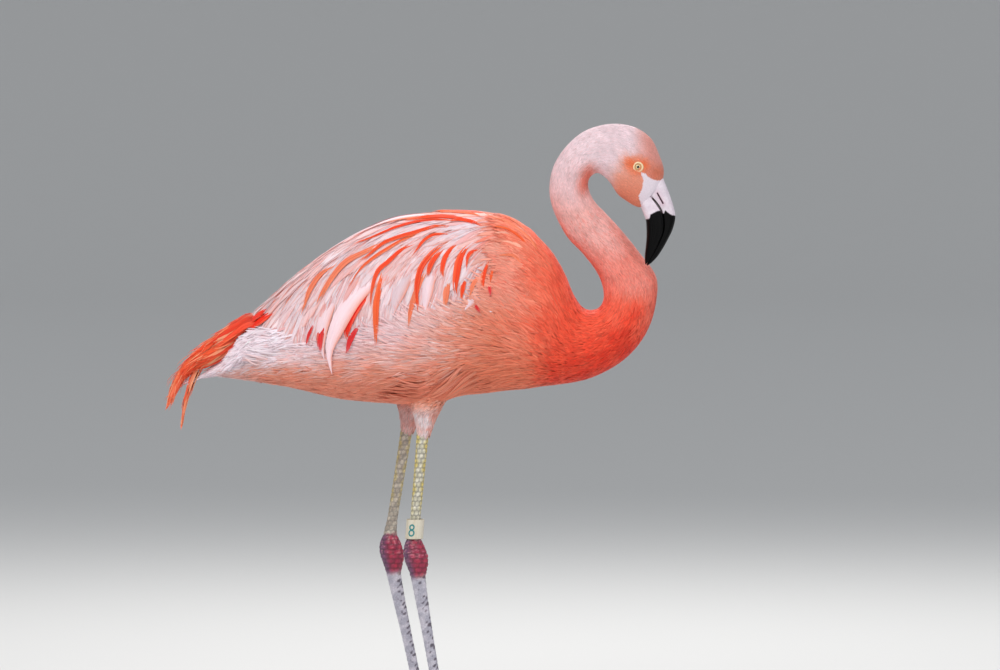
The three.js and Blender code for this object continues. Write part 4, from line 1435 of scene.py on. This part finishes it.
# Single feathers of the wing: tint, half width in millimetres, and station and degrees along it.
STREAKS = [
    ("coral", 2.6, (9.25, 29), (8.5, 23.5), (7.88, 23), (7.33, 26), (6.8, 29), (6.35, 27)),
    ("salmon", 1.6, (8.2, 18), (7.55, 16), (7.1, 16.5)),
    ("coral", 4.5, (9.5, 27), (9.05, 22), (8.55, 19.5), (8.0, 19), (7.5, 20)),
    ("orange", 3.5, (9.9, 20), (9.4, 14), (8.9, 11), (8.4, 10.5)),
    ("coral", 3, (9.4, 8), (8.9, 6), (8.4, 6)),
    ("pale", 6, (7.6, 10), (6.8, 8), (6.0, 8.5), (5.2, 11)),
    ("plume", 12.5, (7.5, 57.5), (6.93, 64.5), (6.33, 74), (5.9, 92), (5.7, 109.5), (5.85, 135.5)),
    ("plume", 9, (6.15, 65), (5.75, 71.5), (5.5, 84.5), (5.45, 101), (5.58, 118.5)),
    ("pale", 10, (8, 59), (7.62, 69.5), (7.43, 81), (7.35, 93)),
    ("pale", 8, (8.6, 60.5), (8.33, 71), (8.25, 82.5), (8.22, 93.5)),
    ("coral", 3.2, (8.97, 33.5), (8.4, 31), (7.83, 35), (7.4, 37), (7.03, 39.5), (6.73, 45), (6.45, 47.5)),
    ("orange", 2.4, (8.22, 35), (7.58, 39), (7.18, 44.5), (6.75, 49.5), (6.45, 55.5), (6.18, 66)),
    ("coral", 2.2, (8.9, 40), (8.4, 39), (8.08, 43), (7.9, 49), (7.75, 54.5)),
    ("coral", 4, (7.9, 44), (7.53, 47.5), (7.2, 55), (6.95, 60), (6.83, 70.5), (6.8, 83)),
    ("orange", 4, (7.1, 57), (7, 70), (6.93, 82), (6.95, 98), (6.98, 110)),
    ("red", 5.5, (6.78, 72), (6.55, 77), (6.33, 84.5), (6.2, 94), (6.25, 102.5)),
    ("coral", 3.6, (8.83, 46), (8.47, 50.5), (8.2, 57), (8, 64), (7.93, 76), (7.98, 85), (8.05, 92.5)),
    ("coral", 3.2, (8.68, 49.5), (8.4, 57.5), (8.28, 63.5), (8.25, 69)),
    ("salmon", 4, (8.22, 63.5), (8, 73.5), (7.88, 82), (7.8, 91), (7.8, 99.5)),
    ("coral", 3.2, (9.1, 47.5), (8.88, 52), (8.72, 58.5), (8.68, 65.5), (8.72, 70)),
    ("coral", 4.4, (9.73, 46.5), (9.38, 53.5), (9.22, 61), (9.18, 69.5), (9.18, 76), (9.28, 82.5)),
    ("coral", 2.4, (10.03, 51.5), (9.68, 54.5), (9.53, 59), (9.53, 67.5)),
    ("coral", 3, (10.33, 60.5), (10.23, 66.5), (10.2, 73.5), (10.25, 78)),
    ("coral", 3, (9.53, 72.5), (9.47, 77.5), (9.47, 85.5)),
    ("salmon", 3, (10.05, 71), (9.85, 75.5), (9.75, 83.5)),
    ("salmon", 4, (8.93, 72.5), (8.88, 79.5), (8.88, 88)),
    ("orange", 2.4, (10.53, 63.5), (10.5, 69.5), (10.48, 75)),
    ("salmon", 5, (7.23, 37.5), (6.65, 40.5), (6.15, 42), (5.75, 51), (5.45, 63)),
    ("salmon", 3, (6.53, 40), (5.98, 44), (5.62, 53), (5.3, 65)),
    ("salmon", 4, (5.9, 36.5), (5.5, 38.5), (5.15, 47.5), (4.83, 66.5)),
    ("crimson", 4.5, (5.6, 80), (5.42, 92), (5.4, 108)),
    ("crimson", 2.4, (5.2, 80), (5.05, 88), (4.95, 98)),
    ("crimson", 4, (6.5, 92), (6.3, 101), (6.2, 112)),
    ("tail", 6, (3.9, 38), (3.4, 38), (2.9, 36)),
    ("tail", 6, (3.75, 26), (3.35, 26), (2.9, 25)),
    ("crimson", 2.2, (10.45, 75), (10.5, 78), (10.57, 83)),
    ("pale", 6, (10.05, 80), (9.85, 86), (9.6, 92)),
    ("crimson", 1.8, (9.9, 86.5), (10.08, 90), (10.28, 94)),
    ("coral", 3.4, (10.3, 15), (9.7, 9.5), (9.0, 7), (8.3, 8)),
    ("pale", 6, (8.4, 13), (7.7, 11), (7.0, 11.5), (6.2, 14)),
    ("coral", 3, (9.95, 33), (9.5, 28), (9.1, 26), (8.7, 27)),
    ("salmon", 3, (12.2, 30), (11.6, 24), (10.9, 21), (10.2, 22)),
    ("orange", 2.6, (12.0, 38), (11.4, 33), (10.8, 31), (10.2, 33)),
    ("blush", 4, (12.3, 25), (11.5, 20), (10.8, 20)),
    ("blush", 3.5, (12.0, 46), (11.3, 42), (10.6, 44)),
    ("salmon", 3, (11.7, 55), (11.2, 52), (10.6, 56)),
    ("blush", 4, (11.5, 36), (10.9, 35), (10.3, 39)),
    ("orange", 3, (11.9, 16), (11.2, 12), (10.4, 11)),
]


def wing_lie(at, degrees):
    """Wing feathers run back along the upper edge and turn down over the side."""
    share = smooth(2.4, 5.0, at)
    return look_up(WING_FLOW, np.abs(degrees)) * share + 12 * (1 - share)


def wing_ground(at, degrees):
    """Just over the skin of the wing, or over the flank's coat beyond it."""
    return np.maximum(wing_lift(at, degrees) - 4.4, 0.3)


def on_wing(at, degrees, side):
    """1 on one side's folded wing, short of its lower edge."""
    _, across, _, _ = wing_place(at, degrees)
    return (wing_lift(at, degrees) > 2.6) * (across < 0.93) * (degrees * side > 0) * 1.0


def streak_rise(tint, ats, angles, s):
    """How high a listed feather lies: on the wing's ground, or on the tail's root, and the
    crimson and hanging ones a little higher."""
    degrees = np.degrees(angles)
    rise = eased(np.maximum(wing_ground(ats, degrees), 0.9), 5.0, 0.25)
    if tint == "tail":
        rise = eased(np.maximum(rise, np.minimum(tail_rise(ats, degrees), 7)), 5.0, 0.6)
    return rise + (1.6 if tint in ("crimson", "plume") else 0.0) * smooth(0.3, 0.6, s)


def streak_colours(tint, side, along, apart, rng):
    """A listed feather's tint, varied between its blades. Pale ones have a salmon rim below, and
    bright ones fade at both ends."""
    many, places = along.shape
    colour = np.array(WING_TINTS[tint], float) * (1 + 0.04 * rng.normal(size=(many, 1)))
    if tint in PALE_TINTS:
        rim = smooth(0.3, 1, SHAPES["blade"][:, 0] * -side)
        colours = np.repeat(colour[:, None], places, 1)
        return mix(colours[:, :, None], (244, 140, 112), 0.8 * rim)
    colour = mix(colour, (246, 168, 140), 0.7 * rng.uniform(0, 1, many) ** 2 * np.abs(apart[:, 0]))
    colours = np.repeat(colour[:, None], places, 1)
    if tint == "tail":
        return colours
    ends = np.clip(0.6 * smooth(0.3, 0.0, along) + 0.5 * smooth(0.6, 1.05, along), 0, 1)
    return mix(colours, (238, 176, 182) if tint == "crimson" else (244, 140, 96), ends)


def add_streaks(coat, side, seed):
    """Lays the listed feathers: a curve through each one's places, wide in the middle. A bright
    one is a bundle of fine blades, side by side, that start and end unevenly."""
    rng = np.random.default_rng(seed)
    for index, (tint, half, *knots) in enumerate(STREAKS):
        knots = np.array(knots, float)
        if side > 0:
            knots = knots + rng.normal(size=2) * (0.12, 1.6)
        pale = tint in PALE_TINTS
        rings, many = (14, 1) if pale else (10, 4 + int(2.2 * half))
        s = np.linspace(0, 1, rings + 1)
        start, end = rng.uniform(-0.03, 0.3, (2, many))
        start[0], end[0] = 0.08, 0.04
        along = start[:, None] + (1 - start - end)[:, None] * s
        run = thread(knots, along * (len(knots) - 1), even=True)
        ats, angles = run[..., 0], np.radians(run[..., 1]) * side
        lift = streak_rise(tint, ats, angles, s) + (0.9 if pale else 1.6)
        lift = lift + 0.9 * s - 2.4 * (1 - s) ** 6 + 0.02 * index
        lift = lift + rng.uniform(-0.25, 0.25, (many, 1))
        line = on_surface(body, ats, angles, lift)
        up = body.normal(ats, angles)
        swell = np.sin(np.pi * np.clip(0.1 + 0.84 * along, 0, 1)) ** 0.9
        apart = rng.uniform(-0.85, 0.85, (many, 1))
        apart[0] = 0
        aside = unit(np.cross(up, unit(np.gradient(line, axis=1))))
        line = line + aside * (apart * half * (0.3 + 0.7 * swell))[..., None]
        share = np.full((many, 1), 1.0 if pale else 0.3)
        share[0] = 1.0 if pale else 0.5
        own = np.sin(np.pi * np.clip(0.1 + 0.86 * s, 0, 1)) ** 0.9
        width = half * share * swell * own * (1 - 0.25 * s) + 0.15
        colours = streak_colours(tint, side, along, apart, rng)
        thick, length = np.full((many, rings + 1), 0.5), np.full(many, 60.0)
        coat.add(line, up, width, thick, colours, (ats[:, 0], angles[:, 0]), length, "blade", rng)


def to_wing_edge(at, angle):
    """Millimetres from a root down to the folded wing's lower edge, and a little over."""
    degrees = np.abs(np.degrees(angle))
    low = look_up(WING, wing_place(at, degrees)[0], 2)
    _, around = body.slopes(at, angle)
    down = np.radians(np.maximum(low - degrees, 0)) * np.linalg.norm(around, axis=-1)
    fall = np.sin(np.radians(wing_lie(at, degrees)))
    return np.maximum(8, (down - 7) / np.maximum(fall, 0.12))


# The wing's feathers, layer by layer from below: how many, and what they are like.
VANE = {
    "shape": "blade", "paint": paint_wing, "lie": wing_lie, "root": 0.97, "slope": 0.25,
    "depth": lambda at: 1.2 + 0 * at, "edge": (242, 142, 118), "edged": 0.7,
    "limit": to_wing_edge, "spread": 0.025,
}
WING_LAYERS = [
    (210, {**VANE, "length": 62, "half": 6.5, "thick": 0.45, "rings": 9, "stand": 0.5, "loose": 0.3,
           "jitter": 5, "bend": 5, "white": 0.3, "red": 0.05}),
    (260, {**VANE, "length": 56, "half": 4.2, "thick": 0.4, "rings": 8, "stand": 1.1, "loose": 0.35,
           "jitter": 6, "bend": 6, "white": 0.4, "red": 0.25}),
    (2100, {**VANE, "length": 34, "half": 0.9, "thick": 0.3, "rings": 4, "stand": 1.3, "loose": 0.3,
            "jitter": 4, "bend": 5, "white": 0.6, "red": 0.35, "shape": "lens", "edged": 0.0}),
]


def make_wing(name, side, material, seed):
    """Folded wing: wide pale blades, narrower ones with salmon edges, single bright feathers,
    and a silky cover of fine strands."""
    coat = Coat(body)

    def here(at, degrees, place):
        return on_wing(at, degrees, side)

    for number, (count, look) in enumerate(WING_LAYERS):
        seeds = seed + number, seed + 10 + number
        grow(coat, count, WING_SPAN, here, look, seeds, wing_ground)
        if number == 1:
            add_streaks(coat, side, seed + 20)
    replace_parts(coat.build(name, material), name)


def paint_tail(at, degrees, place):
    """Vermilion, a little more orange above and darker red in streaks."""
    return layered(
        VERMILION,
        ((255, 172, 132), smooth(-0.2, 0.8, ripple(place, 16, 81))),
        ((234, 44, 22), 0.55 * smooth(0.1, 0.8, ripple(place, 13, 82))),
        ((255, 160, 122), 0.55 * smooth(3.4, 1.2, at)),
        ((238, 34, 14), 0.6 * smooth(4.6, 6.2, at)),
    )


def make_tail(material):
    """Tail: long narrow blades, finer ones over them and thin loose filaments, round a core that
    lies inside the solid, and the bunch that droops below."""
    blades = {
        "shape": "blade", "paint": paint_tail, "lie": lambda at, degrees: 0 * at, "root": 0.85,
        "depth": lambda at: np.interp(at, [0, 2, 7], [0.4, 2, 4]), "rings": 9, "length": 70,
        "half": 3.4, "thick": 0.9, "stand": 0.2, "loose": 0.8, "jitter": 4, "bend": 5,
        "white": 0.05, "red": 0.2, "spread": 0.06, "limit": lambda at, angle: 23 * (at + 0.15),
    }
    strands = {**blades, "shape": "lens", "rings": 5}
    coat = Coat(tail_form)
    grow(coat, 150, (1.2, 6.9), everywhere, blades, (301, 302))
    grow(coat, 260, (0.4, 6.5), everywhere,
         {**strands, "length": 38, "half": 0.8, "stand": 0.9, "jitter": 7}, (303, 304))
    grow(coat, 150, (0.3, 4.8), everywhere,
         {**strands, "length": 46, "half": 0.55, "thick": 0.5, "stand": 3.0, "loose": 3.0,
          "jitter": 18, "bend": 24}, (307, 308))
    coat.build("tail_feathers", material)
    at, angle = ring_grid(np.linspace(0.02, tail_form.last - 0.02, 60), 24, -np.pi)
    core = tail_form.flat(at, angle, 0.8)
    vane = np.vstack([[0.5, 0], np.stack([angle * 3, at], -1).reshape(-1, 2), [0.5, 0]])
    # Painted shade: the core has the tail's colours darkened by a fifth, for the shade under the blades.
    tint = paint_tail(at, angle, core) * 0.8
    make_tube("tail_core", core, tint, material, "tail", {"Vane": vane})
    bunch = Coat(droop_form)
    grow(bunch, 46, (0.6, 3.95), everywhere,
         {**blades, "length": 34, "half": 1.6, "rings": 8, "stand": 0.1,
          "depth": lambda at: 2.0 + 0 * at}, (305, 306))
    bunch.build("tail_droop", material)


# ---------------------------------------------------------------- stage


def make_stage():
    """Pale floor: a disk 14 m in radius whose rim turns up in a quarter circle of 6 m."""
    around = 96
    arc = np.linspace(0, np.pi / 2, 24)
    radius = np.concatenate([np.linspace(0.01, 13.5, 12), 14 + 6 * np.sin(arc)])
    height = np.concatenate([np.zeros(12), 6 - 6 * np.cos(arc)])
    faces = grid_faces(len(radius), around)[:, [0, 3, 2, 1]].tolist() + [list(range(around))]
    radius, turn = ring_grid(radius, around)
    place = np.stack([radius * np.cos(turn), radius * np.sin(turn), height[:, None] + 0 * turn], -1)
    mesh = bpy.data.meshes.new("floor")
    mesh.from_pydata(place.reshape(-1, 3).tolist(), [], faces)
    mesh.polygons.foreach_set("use_smooth", np.ones(len(mesh.polygons), bool))
    material, shader = new_material("floor", Roughness=0.9)
    shader.inputs["Base Color"].default_value = (0.62, 0.62, 0.615, 1)
    mesh.materials.append(material)
    floor = bpy.data.objects.new("floor", mesh)
    bpy.context.scene.collection.objects.link(floor)


# Soft lights: place and aim in metres, width, watts and colour.
LIGHTS = {
    "key": ((-0.9, -2.6, 3.0), (0, 0, 0.5), 2.6, 82, (1.0, 0.97, 0.93)),
    "rim": ((0.3, 1.9, 2.7), (0, 0, 0.6), 2.2, 70, (1.0, 0.98, 0.96)),
    "side": ((3.0, -1.2, 1.6), (0, 0, 0.6), 2.0, 15, (0.97, 0.98, 1.0)),
    "fill": ((0.1, -3.4, 0.45), (0, 0, 0.55), 2.4, 14, (1.0, 0.98, 0.97)),
}


def make_light(name, place, aim, size, power, colour):
    """A round area light that faces its aim."""
    light = bpy.data.lights.new(name, "AREA")
    light.shape, light.size, light.energy, light.color = "DISK", size, power, colour
    lamp = bpy.data.objects.new(name, light)
    lamp.location = place
    lamp.rotation_euler = (Vector(aim) - Vector(place)).to_track_quat("-Z", "Y").to_euler()
    bpy.context.scene.collection.objects.link(lamp)


def make_world():
    """A pale sky all round, and the lights."""
    world = bpy.data.worlds.new("sky")
    world.use_nodes = True
    sky = world.node_tree.nodes["Background"]
    sky.inputs["Color"].default_value = (0.93, 0.96, 1.0, 1)
    sky.inputs["Strength"].default_value = 0.56
    bpy.context.scene.world = world
    bpy.context.scene.view_settings.view_transform = "Standard"
    for name, settings in LIGHTS.items():
        make_light(name, *settings)


# The camera looks at the target in millimetres from metres away, at the bird's right side.
CAMERA = {"target": (100.75, -25.0, 544.0), "away": 9.0, "down": 2.7, "lens": 249.2, "sensor": 36.0}


def make_camera():
    """The camera stands back from its target by (0, -cos, sin) of its tilt times its distance."""
    tilt = math.radians(CAMERA["down"])
    target = (np.array(CAMERA["target"]) + SHIFT) * METRE
    back = np.array([0.0, -math.cos(tilt), math.sin(tilt)]) * CAMERA["away"]
    lens = bpy.data.cameras.new("camera")
    lens.lens, lens.sensor_width, lens.clip_end = CAMERA["lens"], CAMERA["sensor"], 100.0
    camera = bpy.data.objects.new("camera", lens)
    camera.location = target + back
    camera.rotation_euler = (math.pi / 2 - tilt, 0, 0)
    bpy.context.scene.collection.objects.link(camera)
    bpy.context.scene.camera = camera


# ---------------------------------------------------------------- making

make_camera()
make_stage()
make_world()

make_skin()
eye_gloss = grained_material(
    "eye_gloss", size=2500, low=0.96, high=1.04, strength=0.02, distance=0.0001,
    Roughness=0.12, Coat_Weight=0.4, Coat_Roughness=0.03,
)
lid_skin = grained_material(
    "lid_skin", size=1800, low=0.88, high=1.06, strength=0.3, distance=0.0002,
    Roughness=0.55,
)
for which, side in (("right", -1), ("left", 1)):
    make_eye(f"eye_{which}", side, eye_gloss)
    make_lids(f"lids_{which}", side, lid_skin)
horn = grained_material(
    "horn", size=420, low=0.92, high=1.05, strength=0.12, distance=0.0003,
    Roughness=0.38, Specular_IOR_Level=0.1,
)
make_bill("bill_upper", upper_bill, True, horn)
make_bill("bill_lower", lower_bill, False, horn)
claw_horn = grained_material(
    "claw_horn", size=900, low=0.85, high=1.1, strength=0.2, distance=0.0002,
    Roughness=0.35,
)
for leg in LEGS:
    make_claws(leg, claw_horn)
ring_plastic = grained_material(
    "ring_plastic", size=700, low=0.96, high=1.02, strength=0.05, distance=0.0001,
    Roughness=0.4,
)
make_ring(ring_plastic)
make_numeral(ring_plastic)
make_coats(plumage_material("down", barbs=4.0, low=0.95, high=1.03, rough=0.7, strength=0.1))
vane = plumage_material("vane", barbs=9.0, low=0.93, high=1.04, rough=0.55, strength=0.25)
make_wing("wing_right", -1, vane, 201)
make_wing("wing_left", 1, vane, 231)
make_tail(vane)
